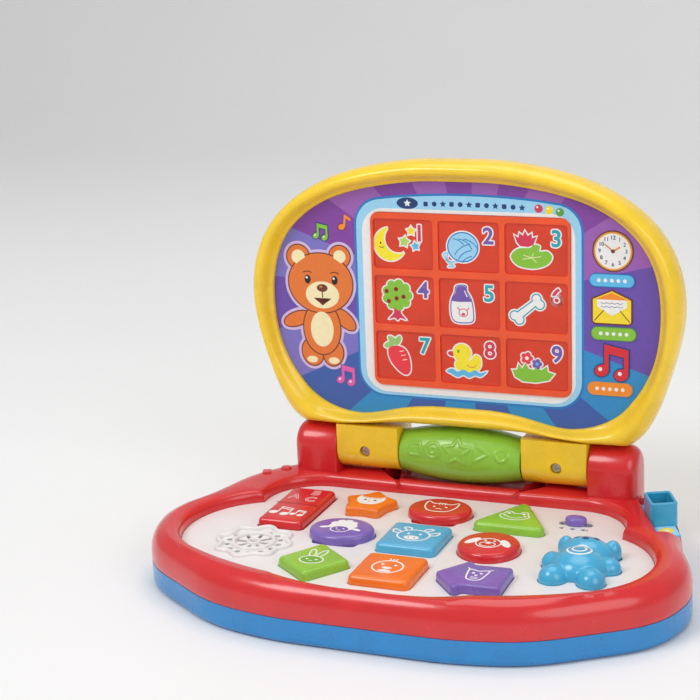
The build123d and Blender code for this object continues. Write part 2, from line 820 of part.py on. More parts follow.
with BuildPart() as back_shell:
    with BuildSketch(lid_at(0)):
        add(lid_outline())
    extrude(amount=-lid_half_thick)
    fillet(back_shell.faces().sort_by(Axis.Y)[-1].edges(), 8)
    with BuildPart(mode=Mode.PRIVATE) as back_hollow:
        with BuildSketch(lid_at(1)):
            add(lid_outline(-wall))
        extrude(amount=-lid_half_thick - 1 + wall)
        fillet(back_hollow.faces().sort_by(Axis.Y)[-1].edges(), 4)
        add(roller_space(wall), mode=Mode.SUBTRACT)
    add(back_hollow.part, mode=Mode.SUBTRACT)
    add(roller_space(), mode=Mode.SUBTRACT)
    add(half_barrels(1))
    add(barrel_bores(), mode=Mode.SUBTRACT)
    with BuildSketch(lid_at(-lid_half_thick + wall - 0.2)):
        with Locations((panel_mid[0], panel_mid[1])):
            with GridLocations(led_board_size[0] - 10, led_board_size[1] - 10, 2, 2):
                Circle(3)
    extrude(amount=led_board_w + lid_half_thick - wall + 0.2)
    with BuildSketch(lid_at(-9)):
        with Locations((-screw_x, 0), (screw_x, 0)):
            Circle(1.35)
    extrude(amount=10, mode=Mode.SUBTRACT)
save(back_shell.part, "lid_rear_shell")

with BuildPart() as bezel:
    with BuildSketch(lid_at(0)):
        add(lid_outline())
    extrude(amount=lid_half_thick)
    fillet(bezel.faces().sort_by(Axis.Y)[0].edges(), bevel_r)
    with BuildPart(mode=Mode.PRIVATE) as bezel_hollow:
        with BuildSketch(lid_at(-1)):
            add(lid_outline(-wall))
        extrude(amount=lid_half_thick + 1 - wall)
        with BuildSketch(lid_at(panel_w)):
            add(panel_outline(wall))
        extrude(amount=lid_half_thick, mode=Mode.SUBTRACT)
        add(roller_space(wall), mode=Mode.SUBTRACT)
    add(bezel_hollow.part, mode=Mode.SUBTRACT)
    with BuildPart(mode=Mode.PRIVATE) as window:
        with BuildSketch(lid_at(panel_w - 1)):
            add(panel_outline())
        extrude(amount=lid_half_thick)
    add(window.part, mode=Mode.SUBTRACT)
    add(roller_space(), mode=Mode.SUBTRACT)
    add(half_barrels(-1))
    add(barrel_bores(), mode=Mode.SUBTRACT)
    with BuildSketch(lid_at(-1)):
        with Locations((-screw_x, 0), (screw_x, 0)):
            Circle(1.6)
    extrude(amount=20, mode=Mode.SUBTRACT)
    with BuildSketch(lid_at(8.5)):
        with Locations((-screw_x, 0), (screw_x, 0)):
            Circle(3.3)
    extrude(amount=10, mode=Mode.SUBTRACT)
save(bezel.part, "lid_front_bezel")

with BuildPart() as panel:
    with BuildSketch(lid_at(panel_w - 2.2)):
        add(panel_outline(3.5))
        with Locations(panel_mid):
            RectangleRounded(screen_size[0] + gap, screen_size[1] + gap, 5, mode=Mode.SUBTRACT)
    extrude(amount=2.2)
save(panel.part, "screen_panel")

with BuildPart() as lens:
    with BuildSketch(lid_at(panel_w - 2.2)):
        with Locations(panel_mid):
            RectangleRounded(*screen_size, 5)
    extrude(amount=3.2)
    with BuildSketch(lid_at(panel_w + 1)):
        with Locations(panel_mid):
            with GridLocations(*cell_pitch, 3, 3):
                RectangleRounded(*cell_size, 2)
    extrude(amount=-1.0, mode=Mode.SUBTRACT)
save(lens.part, "screen_lens")

with BuildPart() as baffle:
    with BuildSketch(lid_at(led_board_w + board_thick)):
        with Locations(panel_mid):
            Rectangle(*screen_size)
            with GridLocations(*cell_pitch, 3, 3):
                Rectangle(cell_pitch[0] - 2, cell_pitch[1] - 2, mode=Mode.SUBTRACT)
    extrude(amount=panel_w - 2.2 - led_board_w - board_thick)
save(baffle.part, "light_baffle")

with BuildPart() as led_board:
    with BuildSketch(lid_at(led_board_w)):
        with Locations(panel_mid):
            Rectangle(*led_board_size)
    extrude(amount=board_thick)
save(led_board.part, "led_board")

with BuildPart() as leds:
    with BuildSketch(lid_at(led_board_w + board_thick)):
        with Locations(panel_mid):
            with GridLocations(*cell_pitch, 3, 3):
                Rectangle(5, 5)
    extrude(amount=2)
save(leds.part, "screen_leds")

with BuildPart() as hinge_screws:
    with BuildSketch(lid_at(8.5)):
        with Locations((-screw_x, 0), (screw_x, 0)):
            Circle(2.8)
    extrude(amount=2)
    chamfer(hinge_screws.faces().sort_by(Axis.Y)[:2].edges(), 0.4)
    with BuildSketch(lid_at(8.5)):
        with Locations((-screw_x, 0), (screw_x, 0)):
            Circle(1.3)
    extrude(amount=-17)
    with BuildSketch(lid_at(9.6)):
        with Locations((-screw_x, 0), (screw_x, 0)):
            Rectangle(3.4, 0.8)
            Rectangle(0.8, 3.4)
    extrude(amount=3, mode=Mode.SUBTRACT)
save(hinge_screws.part, "lid_hinge_screws")

with BuildPart() as badge:
    with BuildSketch(lid_at(-lid_half_thick)):
        with Locations((0, 111)):
            Ellipse(39, 27)
    extrude(amount=-1.2)
save(badge.part, "lid_badge")

# Roller between the barrels, on a steel axle
with BuildPart() as roller:
    with BuildSketch(Plane((0, hinge_y, hinge_z))):
        with BuildLine():
            end = roller_half - gap
            Polyline((-end, axle_r + 0.08), (-end, roller_end_r))
            ThreePointArc((-end, roller_end_r), (0, roller_mid_r), (end, roller_end_r))
            Polyline((end, roller_end_r), (end, axle_r + 0.08), (end - wall, axle_r + 0.08))
            Line((end - wall, axle_r + 0.08), (end - wall, roller_end_r - wall))
            ThreePointArc(
                (end - wall, roller_end_r - wall),
                (0, roller_mid_r - wall),
                (wall - end, roller_end_r - wall),
            )
            Polyline((wall - end, roller_end_r - wall), (wall - end, axle_r + 0.08), (-end, axle_r + 0.08))
        make_face()
    revolve(axis=Axis((0, hinge_y, hinge_z), (1, 0, 0)))
save(roller.part, "roller")

with BuildPart() as axle:
    with BuildSketch(across(-axle_half)):
        Circle(axle_r)
    extrude(amount=2 * axle_half)
save(axle.part, "roller_axle")
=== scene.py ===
import json
from math import acos, atan2, cos, hypot, pi, radians, sin, sqrt, tau

import bmesh
import bpy
from mathutils import Matrix, Vector
from mathutils.bvhtree import BVHTree


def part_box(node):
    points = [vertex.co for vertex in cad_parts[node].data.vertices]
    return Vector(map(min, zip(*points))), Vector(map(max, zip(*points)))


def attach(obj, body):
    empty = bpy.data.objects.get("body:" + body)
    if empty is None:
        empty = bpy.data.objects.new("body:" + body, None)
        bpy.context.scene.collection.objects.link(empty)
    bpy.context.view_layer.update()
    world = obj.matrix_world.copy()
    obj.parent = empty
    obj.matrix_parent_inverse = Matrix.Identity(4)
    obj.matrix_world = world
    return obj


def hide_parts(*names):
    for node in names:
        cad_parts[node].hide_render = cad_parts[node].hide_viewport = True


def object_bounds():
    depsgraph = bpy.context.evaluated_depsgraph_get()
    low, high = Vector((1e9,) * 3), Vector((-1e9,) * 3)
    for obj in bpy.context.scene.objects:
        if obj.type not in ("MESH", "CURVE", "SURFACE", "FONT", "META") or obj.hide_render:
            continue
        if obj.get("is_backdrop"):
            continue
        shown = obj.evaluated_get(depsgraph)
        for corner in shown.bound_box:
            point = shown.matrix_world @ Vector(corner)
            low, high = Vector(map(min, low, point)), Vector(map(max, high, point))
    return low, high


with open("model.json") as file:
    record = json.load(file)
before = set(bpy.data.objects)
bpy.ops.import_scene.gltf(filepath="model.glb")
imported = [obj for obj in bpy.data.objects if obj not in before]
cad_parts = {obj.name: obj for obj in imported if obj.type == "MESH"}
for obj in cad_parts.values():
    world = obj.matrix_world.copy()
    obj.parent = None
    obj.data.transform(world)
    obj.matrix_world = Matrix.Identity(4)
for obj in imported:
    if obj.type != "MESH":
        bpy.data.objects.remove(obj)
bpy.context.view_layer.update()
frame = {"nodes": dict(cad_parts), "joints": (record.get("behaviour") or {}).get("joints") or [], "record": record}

# Looks of the toy laptop. Lengths are in metres; drawing coordinates on a plane are in millimetres.
MM = 0.001

lid_joint = next(j for j in frame["joints"] if j["name"] == "lid_hinge")
hinge = Vector(lid_joint["pos_m"])
lid_lean = radians(2.0)         # how far past upright the open lid stands
lid_up = Vector((0, sin(lid_lean), cos(lid_lean)))
lid_front = Vector((0, -cos(lid_lean), sin(lid_lean)))


def lid_plane(w):
    """Matrix of the plane w mm in front of the hinge axis: x to the right, y up the lid, in mm."""
    axes = Matrix((Vector((1, 0, 0)), lid_up, lid_front)).transposed().to_4x4()
    return Matrix.Translation(hinge + lid_front * w * MM) @ axes @ Matrix.Scale(MM, 4)


def lid_back_plane(w):
    """Matrix of the plane w mm behind the hinge axis, seen from behind: x to the viewer's right."""
    axes = Matrix((Vector((-1, 0, 0)), lid_up, -lid_front)).transposed().to_4x4()
    return Matrix.Translation(hinge - lid_front * w * MM) @ axes @ Matrix.Scale(MM, 4)


def deck_plane(x, y, z, turn=0.0):
    """Matrix of a level plane: x and y from under the hinge axis, z above the table, all in mm."""
    place = Matrix.Translation((x * MM, hinge.y + y * MM, z * MM))
    return place @ Matrix.Rotation(radians(turn), 4, "Z") @ Matrix.Scale(MM, 4)


def above(x, y, z):
    """A point given in mm: x and y from under the hinge axis, z above the table."""
    return Vector((x * MM, hinge.y + y * MM, z * MM))


# Camera, at the photograph's viewing angle
camera_at = Vector((0.3230, -0.8682, 0.3934))
look_at = Vector((-0.0434, -0.0050, 0.1237))
camera_roll = radians(2.86)
camera_data = bpy.data.cameras.new("camera")
camera_data.lens = 92.1
camera_data.sensor_width = 36.0
camera_data.clip_start = 0.01
camera_data.clip_end = 30.0
camera = bpy.data.objects.new("camera", camera_data)
bpy.context.scene.collection.objects.link(camera)
bpy.context.scene.camera = camera
turned = (look_at - camera_at).to_track_quat("-Z", "Y").to_matrix().to_4x4()
camera.matrix_world = Matrix.Translation(camera_at) @ turned @ Matrix.Rotation(-camera_roll, 4, "Z")


# Materials
def plastic(name, colour, rough=0.28, shade=0.06, grain=60.0, bump=0.03, bump_scale=900.0,
            coat=0.25, subsurface=0.0, transmission=0.0, metal=0.0):
    """Moulded plastic: a slow drift of colour and gloss, and a fine grain in the surface."""
    material = bpy.data.materials.new(name)
    material.use_nodes = True
    nodes = material.node_tree.nodes
    links = material.node_tree.links
    shader = nodes["Principled BSDF"]
    shader.inputs["Metallic"].default_value = metal
    shader.inputs["Coat Weight"].default_value = coat
    shader.inputs["Coat Roughness"].default_value = 0.12
    shader.inputs["Subsurface Weight"].default_value = subsurface
    shader.inputs["Subsurface Scale"].default_value = 0.004
    shader.inputs["Transmission Weight"].default_value = transmission
    where = nodes.new("ShaderNodeTexCoord")
    drift = nodes.new("ShaderNodeTexNoise")
    drift.inputs["Scale"].default_value = grain
    drift.inputs["Detail"].default_value = 3.0
    links.new(where.outputs["Object"], drift.inputs["Vector"])
    ramp = nodes.new("ShaderNodeValToRGB")
    ramp.color_ramp.elements[0].position = 0.3
    ramp.color_ramp.elements[1].position = 0.7
    ramp.color_ramp.elements[0].color = (*[c * (1 - shade) for c in colour], 1)
    ramp.color_ramp.elements[1].color = (*[min(1.0, c * (1 + shade)) for c in colour], 1)
    links.new(drift.outputs["Fac"], ramp.inputs["Fac"])
    links.new(ramp.outputs["Color"], shader.inputs["Base Color"])
    gloss = nodes.new("ShaderNodeMapRange")
    gloss.inputs["To Min"].default_value = rough - 0.05
    gloss.inputs["To Max"].default_value = rough + 0.07
    links.new(drift.outputs["Fac"], gloss.inputs["Value"])
    links.new(gloss.outputs["Result"], shader.inputs["Roughness"])
    pores = nodes.new("ShaderNodeTexNoise")
    pores.inputs["Scale"].default_value = bump_scale
    pores.inputs["Detail"].default_value = 2.0
    links.new(where.outputs["Object"], pores.inputs["Vector"])
    relief = nodes.new("ShaderNodeBump")
    relief.inputs["Strength"].default_value = bump
    relief.inputs["Distance"].default_value = 0.0004
    links.new(pores.outputs["Fac"], relief.inputs["Height"])
    links.new(relief.outputs["Normal"], shader.inputs["Normal"])
    return material


def dimpled(name, colour, pitch=1.1, depth=0.6):
    """Translucent plastic with the fine pattern of dimples that spreads the light of a screen cell."""
    material = plastic(name, colour, rough=0.36, coat=0.1, subsurface=0.15)
    nodes = material.node_tree.nodes
    links = material.node_tree.links
    where = nodes["Texture Coordinate"]
    spread = nodes.new("ShaderNodeVectorMath")
    spread.operation = "SCALE"
    spread.inputs["Scale"].default_value = 1000.0 / pitch
    links.new(where.outputs["Object"], spread.inputs[0])
    cells = nodes.new("ShaderNodeTexVoronoi")
    cells.inputs["Randomness"].default_value = 0.0
    cells.inputs["Scale"].default_value = 1.0
    links.new(spread.outputs["Vector"], cells.inputs["Vector"])
    dents = nodes.new("ShaderNodeBump")
    dents.inputs["Strength"].default_value = depth
    dents.inputs["Distance"].default_value = 0.0003
    links.new(cells.outputs["Distance"], dents.inputs["Height"])
    links.new(nodes["Bump"].outputs["Normal"], dents.inputs["Normal"])
    links.new(dents.outputs["Normal"], nodes["Principled BSDF"].inputs["Normal"])
    return material


def ink(name, colour):
    """Printed ink: nearly even, with a slight halftone mottling."""
    return plastic(name, colour, rough=0.42, shade=0.03, grain=400.0, bump=0.02, bump_scale=2500.0, coat=0.0)


red = plastic("red_plastic", (0.66, 0.018, 0.022), rough=0.24, coat=0.35)
blue = plastic("blue_plastic", (0.010, 0.235, 0.58), rough=0.27, coat=0.3)
yellow = plastic("yellow_plastic", (0.93, 0.62, 0.022), rough=0.27, coat=0.3)
white = plastic("white_plastic", (0.80, 0.78, 0.77), rough=0.36, shade=0.02, coat=0.15)
green = plastic("green_plastic", (0.27, 0.56, 0.045), rough=0.27, coat=0.3)
orange = plastic("orange_plastic", (0.90, 0.19, 0.012), rough=0.26, coat=0.3)
purple = plastic("purple_plastic", (0.20, 0.125, 0.47), rough=0.27, coat=0.3)
sky = plastic("sky_plastic", (0.075, 0.42, 0.68), rough=0.27, coat=0.3)
cyan = plastic("cyan_plastic", (0.03, 0.36, 0.60), rough=0.27, coat=0.3)
bear_blue = plastic("bear_plastic", (0.055, 0.42, 0.68), rough=0.22, coat=0.4, subsurface=0.12)
lens_rib = plastic("lens_plastic", (0.86, 0.085, 0.012), rough=0.3, coat=0.2, subsurface=0.1)
lens_cell = dimpled("lens_cells", (0.80, 0.045, 0.010))
steel = plastic("screw_steel", (0.55, 0.53, 0.50), rough=0.3, shade=0.12, coat=0.0, metal=1.0)
copper = plastic("contact_metal", (0.60, 0.58, 0.52), rough=0.32, shade=0.1, coat=0.0, metal=1.0)
board_green = plastic("board_green", (0.02, 0.16, 0.05), rough=0.45, shade=0.2, grain=300.0)
black = plastic("black_resin", (0.015, 0.015, 0.017), rough=0.45, shade=0.2)
rubber = plastic("grey_rubber", (0.25, 0.25, 0.26), rough=0.6, coat=0.0)
paper = plastic("speaker_paper", (0.05, 0.045, 0.04), rough=0.75, coat=0.0, bump=0.2)
jacket = plastic("cell_jacket", (0.05, 0.06, 0.07), rough=0.35, shade=0.2)
nylon = plastic("hinge_nylon", (0.5, 0.5, 0.48), rough=0.5)
wire = plastic("wire_jacket", (0.10, 0.10, 0.11), rough=0.5)
clear = plastic("led_clear", (0.9, 0.85, 0.8), rough=0.15, transmission=0.4)

inks = {
    "white": (0.86, 0.86, 0.85), "black": (0.012, 0.010, 0.012), "brown": (0.16, 0.035, 0.012),
    "navy": (0.010, 0.045, 0.17), "red": (0.70, 0.022, 0.035), "crimson": (0.66, 0.035, 0.09),
    "yellow": (0.93, 0.72, 0.03), "cream": (0.93, 0.83, 0.50), "green": (0.24, 0.55, 0.04),
    "leaf": (0.10, 0.36, 0.05), "teal": (0.012, 0.38, 0.45), "violet": (0.17, 0.10, 0.42),
    "sky": (0.11, 0.50, 0.82), "pale": (0.33, 0.66, 0.90), "blue": (0.014, 0.20, 0.55),
    "orange": (0.90, 0.27, 0.02), "tan": (0.72, 0.30, 0.05), "pink": (0.80, 0.12, 0.42),
    "glow": (0.66, 0.50, 0.78), "grey": (0.30, 0.30, 0.33), "lime": (0.42, 0.70, 0.12),
    "ray_1": (0.225, 0.055, 0.36), "ray_2": (0.33, 0.115, 0.46), "ray_3": (0.145, 0.075, 0.42),
    "ray_4": (0.20, 0.175, 0.56), "ray_5": (0.045, 0.115, 0.42), "ray_6": (0.028, 0.27, 0.60),
    "ember": (0.30, 0.006, 0.010), "bear": (0.79, 0.19, 0.03), "lemon": (0.94, 0.80, 0.03),
    "scarlet": (0.84, 0.04, 0.06), "leaf_light": (0.32, 0.60, 0.16), "green_dark": (0.16, 0.42, 0.03),
}
ink_made = {}


def ink_of(colour):
    if not isinstance(colour, str):
        return colour
    if colour not in ink_made:
        ink_made[colour] = ink("ink_" + colour, inks[colour])
    return ink_made[colour]


slot_looks = {
    "blue_case": blue, "red_case": red, "white_deck": white, "screw_steel": steel,
    "contact_steel": copper, "cell_jacket": jacket, "circuit_board": board_green,
    "black_epoxy": black, "grey_rubber": rubber, "speaker_steel": copper, "speaker_paper": paper,
    "switch_body": black, "printed_strip": ink_of("sky"), "hinge_nylon": nylon, "wire_jacket": wire,
    "yellow_lid": yellow, "printed_panel": ink_of("ray_3"), "screen_lens": lens_rib,
    "white_baffle": white, "led_clear": clear, "badge_print": ink_of("sky"), "axle_steel": steel,
    "green_key": green, "orange_key": orange, "red_key": red, "purple_key": purple, "blue_key": sky,
    "cyan_slider": cyan,
}
for entry in frame["record"]["subparts"]:
    node = frame["nodes"][entry["node"]]
    node.data.materials.clear()
    node.data.materials.append(slot_looks[entry["material_slot"]])


# Mesh helpers
def split_faces(bm):
    """Splits faces of more than four corners into triangles."""
    bm.normal_update()
    many = [f for f in bm.faces if len(f.verts) > 4]
    bmesh.ops.triangulate(bm, faces=many, ngon_method="EAR_CLIP")


def new_piece(name, bm, materials, body, smooth=True, sharp=35.0):
    """Turns a bmesh in the row frame into a piece that rides on a body."""
    bm.transform(Matrix.Scale(1 / MM, 4))       # small faces split reliably only in mm
    split_faces(bm)
    bmesh.ops.recalc_face_normals(bm, faces=bm.faces)
    bm.transform(Matrix.Scale(MM, 4))
    mesh = bpy.data.meshes.new(name)
    bm.to_mesh(mesh)
    bm.free()
    for material in materials:
        mesh.materials.append(material)
    piece = bpy.data.objects.new(name, mesh)
    bpy.context.scene.collection.objects.link(piece)
    if smooth:
        mesh.shade_smooth()
        mesh.set_sharp_from_angle(angle=radians(sharp))
    if body:
        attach(piece, body)
    return piece


def loft(bm, rings, close_profile=False, cap_first=False, cap_last=False, index=0):
    """Skins closed rings that all have the same number of points."""
    made = [[bm.verts.new(p) for p in ring] for ring in rings]
    pairs = list(zip(made, made[1:]))
    if close_profile:
        pairs.append((made[-1], made[0]))
    for a, b in pairs:
        for i in range(len(a)):
            k = (i + 1) % len(a)
            face = bm.faces.new((a[i], a[k], b[k], b[i]))
            face.material_index = index
    if cap_first:
        bm.faces.new(made[0])
    if cap_last:
        bm.faces.new(made[-1])
    return made


def planar_loops(node, origin, normal, tolerance=2e-5):
    """Closed outlines of a CAD node's flat faces in one plane, as 3-D points, longest span first."""
    mesh = frame["nodes"][node].data
    seen = {}
    for polygon in mesh.polygons:
        corners = [mesh.vertices[i].co for i in polygon.vertices]
        if any(abs((c - origin).dot(normal)) > tolerance for c in corners):
            continue
        keys = [tuple(round(x * 2e5) for x in c) for c in corners]
        for a, b, co in zip(keys, keys[1:] + keys[:1], corners):
            if (b, a) in seen:
                del seen[(b, a)]
            else:
                seen[(a, b)] = co.copy()
    following = {}
    for (a, b), co in seen.items():
        following[a] = (b, co)
    loops = []
    while following:
        start = next(iter(following))
        at = start
        loop = []
        while at in following:
            nxt, co = following.pop(at)
            loop.append(co)
            at = nxt
        if len(loop) > 2:
            loops.append(loop)
    loops.sort(key=lambda q: -max((p - q[0]).length for p in q))
    return loops


def radial(loop, centre, angle):
    """Distance from centre to a star-shaped 2-D loop along a direction."""
    direction = (cos(angle), sin(angle))
    best = 0.0
    for i in range(len(loop)):
        ax, ay = loop[i - 1][0] - centre[0], loop[i - 1][1] - centre[1]
        bx, by = loop[i][0] - centre[0], loop[i][1] - centre[1]
        ex, ey = bx - ax, by - ay
        det = direction[0] * -ey + direction[1] * ex
        if abs(det) < 1e-12:
            continue
        t = (ax * -ey + ay * ex) / det
        u = (direction[0] * ay - direction[1] * ax) / det
        if t > best and -1e-6 <= u <= 1 + 1e-6:
            best = t
    return best


def outer_ring(loops, centre):
    """The outermost points of several 2-D loops as one star-shaped loop, bridging any gaps."""
    kept = []
    for loop in loops:
        for x, y in loop:
            angle = atan2(y - centre[1], x - centre[0])
            reach = hypot(x - centre[0], y - centre[1])
            if reach > max(radial(other, centre, angle) for other in loops) - 0.05:
                kept.append((angle, reach, (x, y)))
    kept.sort()
    return [point for angle, reach, point in kept]


def even(loop, count):
    """A closed 2-D loop resampled at even spacing."""
    lengths = [hypot(loop[i][0] - loop[i - 1][0], loop[i][1] - loop[i - 1][1]) for i in range(len(loop))]
    total = sum(lengths)
    points = []
    i = 0
    run = lengths[0]
    before = 0.0
    for k in range(count):
        target = total * k / count
        while run < target:
            before = run
            i += 1
            run += lengths[i]
        t = (target - before) / max(lengths[i], 1e-12)
        a, b = loop[i - 1], loop[i]
        points.append((a[0] + (b[0] - a[0]) * t, a[1] + (b[1] - a[1]) * t))
    return points


def area_of(loop):
    return sum(a[0] * b[1] - b[0] * a[1] for a, b in zip(loop, loop[1:] + loop[:1])) / 2


def grow(loop, amount):
    """A closed 2-D loop moved outward along its corner normals."""
    sign = 1 if area_of(loop) > 0 else -1
    out = []
    for i in range(len(loop)):
        a, b, c = loop[i - 1], loop[i], loop[(i + 1) % len(loop)]
        n1 = Vector((b[1] - a[1], a[0] - b[0])).normalized()
        n2 = Vector((c[1] - b[1], b[0] - c[0])).normalized()
        n = n1 + n2
        if n.length < 1e-6:
            n = n1
        n.normalize()
        stretch = 1 / max(n.dot(n1), 0.6)
        out.append((b[0] + n.x * amount * sign * stretch, b[1] + n.y * amount * sign * stretch))
    return out


# Drawing: outlines in mm on a plane
def ellipse(cx, cy, rx, ry=None, turn=0.0, n=40, start=0.0, stop=tau):
    ry = rx if ry is None else ry
    c, s = cos(radians(turn)), sin(radians(turn))
    steps = n if stop - start > tau - 1e-6 else n + 1
    points = []
    for i in range(steps):
        t = start + (stop - start) * i / n
        x, y = rx * cos(t), ry * sin(t)
        points.append((cx + x * c - y * s, cy + x * s + y * c))
    return points


def rounded(cx, cy, w, h, r, turn=0.0):
    points = []
    for qx, qy, quarter in ((1, 1, 0), (-1, 1, 1), (-1, -1, 2), (1, -1, 3)):
        for i in range(7):
            t = pi / 2 * (quarter + i / 6)
            points.append((qx * (w / 2 - r) + r * cos(t), qy * (h / 2 - r) + r * sin(t)))
    c, s = cos(radians(turn)), sin(radians(turn))
    return [(cx + x * c - y * s, cy + x * s + y * c) for x, y in points]


def smooth(points, n=6, closed=True):
    """Catmull-Rom curve through the points."""
    out = []
    count = len(points)
    for i in range(count if closed else count - 1):
        if closed:
            p0, p1, p2, p3 = (points[(i + k) % count] for k in (-1, 0, 1, 2))
        else:
            p0, p1, p2, p3 = (points[min(max(i + k, 0), count - 1)] for k in (-1, 0, 1, 2))
        for k in range(n):
            t = k / n
            out.append(tuple(
                0.5 * (2 * b + (c - a) * t + (2 * a - 5 * b + 4 * c - d) * t * t
                       + (3 * b - a - 3 * c + d) * t * t * t)
                for a, b, c, d in zip(p0, p1, p2, p3)
            ))
    if not closed:
        out.append(points[-1])
    return out


def star(cx, cy, r, inner=0.5, tips=5, turn=90.0):
    points = []
    for i in range(2 * tips):
        t = radians(turn) + pi * i / tips
        k = r if i % 2 == 0 else r * inner
        points.append((cx + k * cos(t), cy + k * sin(t)))
    return points


def flower(cx, cy, r, petals=5, depth=0.25, n=60, turn=0.0):
    points = []
    for i in range(n):
        t = tau * i / n
        k = r * (1 - depth + depth * abs(cos(petals * (t - radians(turn)) / 2)) ** 0.7)
        points.append((cx + k * cos(t), cy + k * sin(t)))
    return points


class Print:
    """Thin closed slabs of ink on one plane, each a little above the one before."""

    def __init__(self, name, plane, body, slot, step=0.008, base=0.03):
        self.name = name
        self.plane = plane
        self.body = body
        self.slot = slot
        self.bm = bmesh.new()
        self.colours = []
        self.level = base
        self.step = step

    def index(self, colour):
        if colour not in self.colours:
            self.colours.append(colour)
        return self.colours.index(colour)

    def fill(self, points, colour="white"):
        if area_of(points) < 0:
            points = points[::-1]
        self.level += self.step
        low = [self.bm.verts.new((x, y, 0)) for x, y in points]
        top = [self.bm.verts.new((x, y, self.level)) for x, y in points]
        index = self.index(colour)
        faces = [self.bm.faces.new(top), self.bm.faces.new(low[::-1])]
        for i in range(len(points)):
            faces.append(self.bm.faces.new((low[i - 1], low[i], top[i], top[i - 1])))
        for face in faces:
            face.material_index = index

    def line(self, points, width, colour="white", closed=False):
        """A stroke of even width; an open one has round ends."""
        if closed:
            outer, inner = grow(points, width / 2), grow(points, -width / 2)
            self.level += self.step
            index = self.index(colour)
            rings = [
                [(x, y, 0) for x, y in outer], [(x, y, self.level) for x, y in outer],
                [(x, y, self.level) for x, y in inner], [(x, y, 0) for x, y in inner],
            ]
            loft(self.bm, rings, close_profile=True, index=index)
            return
        path = [Vector(q) for q in points]
        steps = [(b - a).normalized() for a, b in zip(path, path[1:])]
        half = width / 2
        stations = []               # middle, direction and half width along the stroke
        for k in (80, 55, 28):      # round ends, in steps of so many degrees
            back, reach = half * sin(radians(k)), half * cos(radians(k))
            stations.append((path[0] - steps[0] * back, steps[0], reach))
        for i, at in enumerate(path):
            before, after = steps[max(i - 1, 0)], steps[min(i, len(steps) - 1)]
            along = (before + after).normalized() if (before + after).length > 0.2 else after
            stations.append((at, along, half / max(along.dot(after), 0.6)))
        for k in (28, 55, 80):
            back, reach = half * sin(radians(k)), half * cos(radians(k))
            stations.append((path[-1] + steps[-1] * back, steps[-1], reach))
        self.level += self.step
        rings = []
        for at, along, reach in stations:
            side = Vector((-along.y, along.x)) * reach
            a, b = at + side, at - side
            rings.append([(a.x, a.y, 0), (a.x, a.y, self.level), (b.x, b.y, self.level), (b.x, b.y, 0)])
        first = len(self.bm.faces)
        loft(self.bm, rings, cap_first=True, cap_last=True)
        self.bm.faces.ensure_lookup_table()
        index = self.index(colour)
        for i in range(first, len(self.bm.faces)):
            self.bm.faces[i].material_index = index

    def sticker(self, shapes, margin=0.9, edge="white"):
        """Coloured shapes with one pale border round them all."""
        for points, colour in shapes:
            self.fill(grow(points, margin), edge)
        for points, colour in shapes:
            self.fill(points, colour)

    def text(self, body, x, y, size, colour, weight=0.0, turn=0.0):
        """A generic number, in the built-in face."""
        curve = bpy.data.curves.new("figure", "FONT")
        curve.body = body
        curve.size = size
        curve.offset = weight
        curve.align_x = "CENTER"
        curve.align_y = "CENTER"
        self.level += self.step
        curve.extrude = self.level / 2
        holder = bpy.data.objects.new("figure", curve)
        bpy.context.scene.collection.objects.link(holder)
        bpy.context.view_layer.update()
        mesh = bpy.data.meshes.new_from_object(holder)
        mesh.transform(Matrix.Translation((x, y, self.level / 2)) @ Matrix.Rotation(radians(turn), 4, "Z"))
        first = len(self.bm.faces)
        self.bm.from_mesh(mesh)
        self.bm.faces.ensure_lookup_table()
        index = self.index(colour)
        for face in self.bm.faces[first:]:
            face.material_index = index
        bpy.data.objects.remove(holder)
        bpy.data.curves.remove(curve)
        bpy.data.meshes.remove(mesh)

    def done(self, drape=None):
        """Makes the piece; with drape, the ink lies on that skin."""
        split_faces(self.bm)
        self.bm.transform(self.plane)
        if drape:
            for vertex in self.bm.verts:
                hit = drape.ray_cast(Vector((vertex.co.x, vertex.co.y, 0.2)), Vector((0, 0, -1)))[0]
                if hit:
                    vertex.co.z += hit.z - self.plane.translation.z
        materials = [ink_of(c) for c in self.colours]
        return new_piece(self.name, self.bm, materials, self.body, smooth=False)


def boolean(piece, cutter, how="DIFFERENCE"):
    """Cuts or joins with another object, which is then removed."""
    modifier = piece.modifiers.new("cut", "BOOLEAN")
    modifier.object = cutter
    modifier.operation = how
    modifier.solver = "EXACT"
    bake(piece)
    bpy.data.objects.remove(cutter)


def bake(piece):
    """Replaces a piece's mesh by its mesh with modifiers."""
    bpy.context.view_layer.update()
    evaluated = piece.evaluated_get(bpy.context.evaluated_depsgraph_get())
    mesh = bpy.data.meshes.new_from_object(evaluated)
    piece.modifiers.clear()
    piece.data = mesh
    piece.data.name = piece.name


def prism(points, low, high, plane):
    """A plain solid between two heights of a plane, used for cutting."""
    bm = bmesh.new()
    loft(bm, [[(x, y, z) for x, y in points] for z in (low, high)], cap_first=True, cap_last=True)
    bm.transform(plane)
    return new_piece("cutter", bm, [], None, smooth=False)


def turned_solid(profile, segments=72):
    """A plain solid turned about the hinge axis from (x, radius) pairs in mm, used for cutting."""
    bm = bmesh.new()
    rings = []
    for x, r in profile:
        rings.append([
            hinge + Vector((x, r * cos(tau * i / segments), r * sin(tau * i / segments))) * MM
            for i in range(segments)
        ])
    loft(bm, rings, cap_first=True, cap_last=True)
    return new_piece("cutter", bm, [], None, smooth=False)


def soften(piece, sharp=35.0):
    piece.data.shade_smooth()
    piece.data.set_sharp_from_angle(angle=radians(sharp))


UP = Vector((0, 0, 1))


def flat_loop(points, plane):
    """3-D points as 2-D points in mm on a plane."""
    back = plane.inverted()
    return [tuple((back @ p).xy) for p in points]


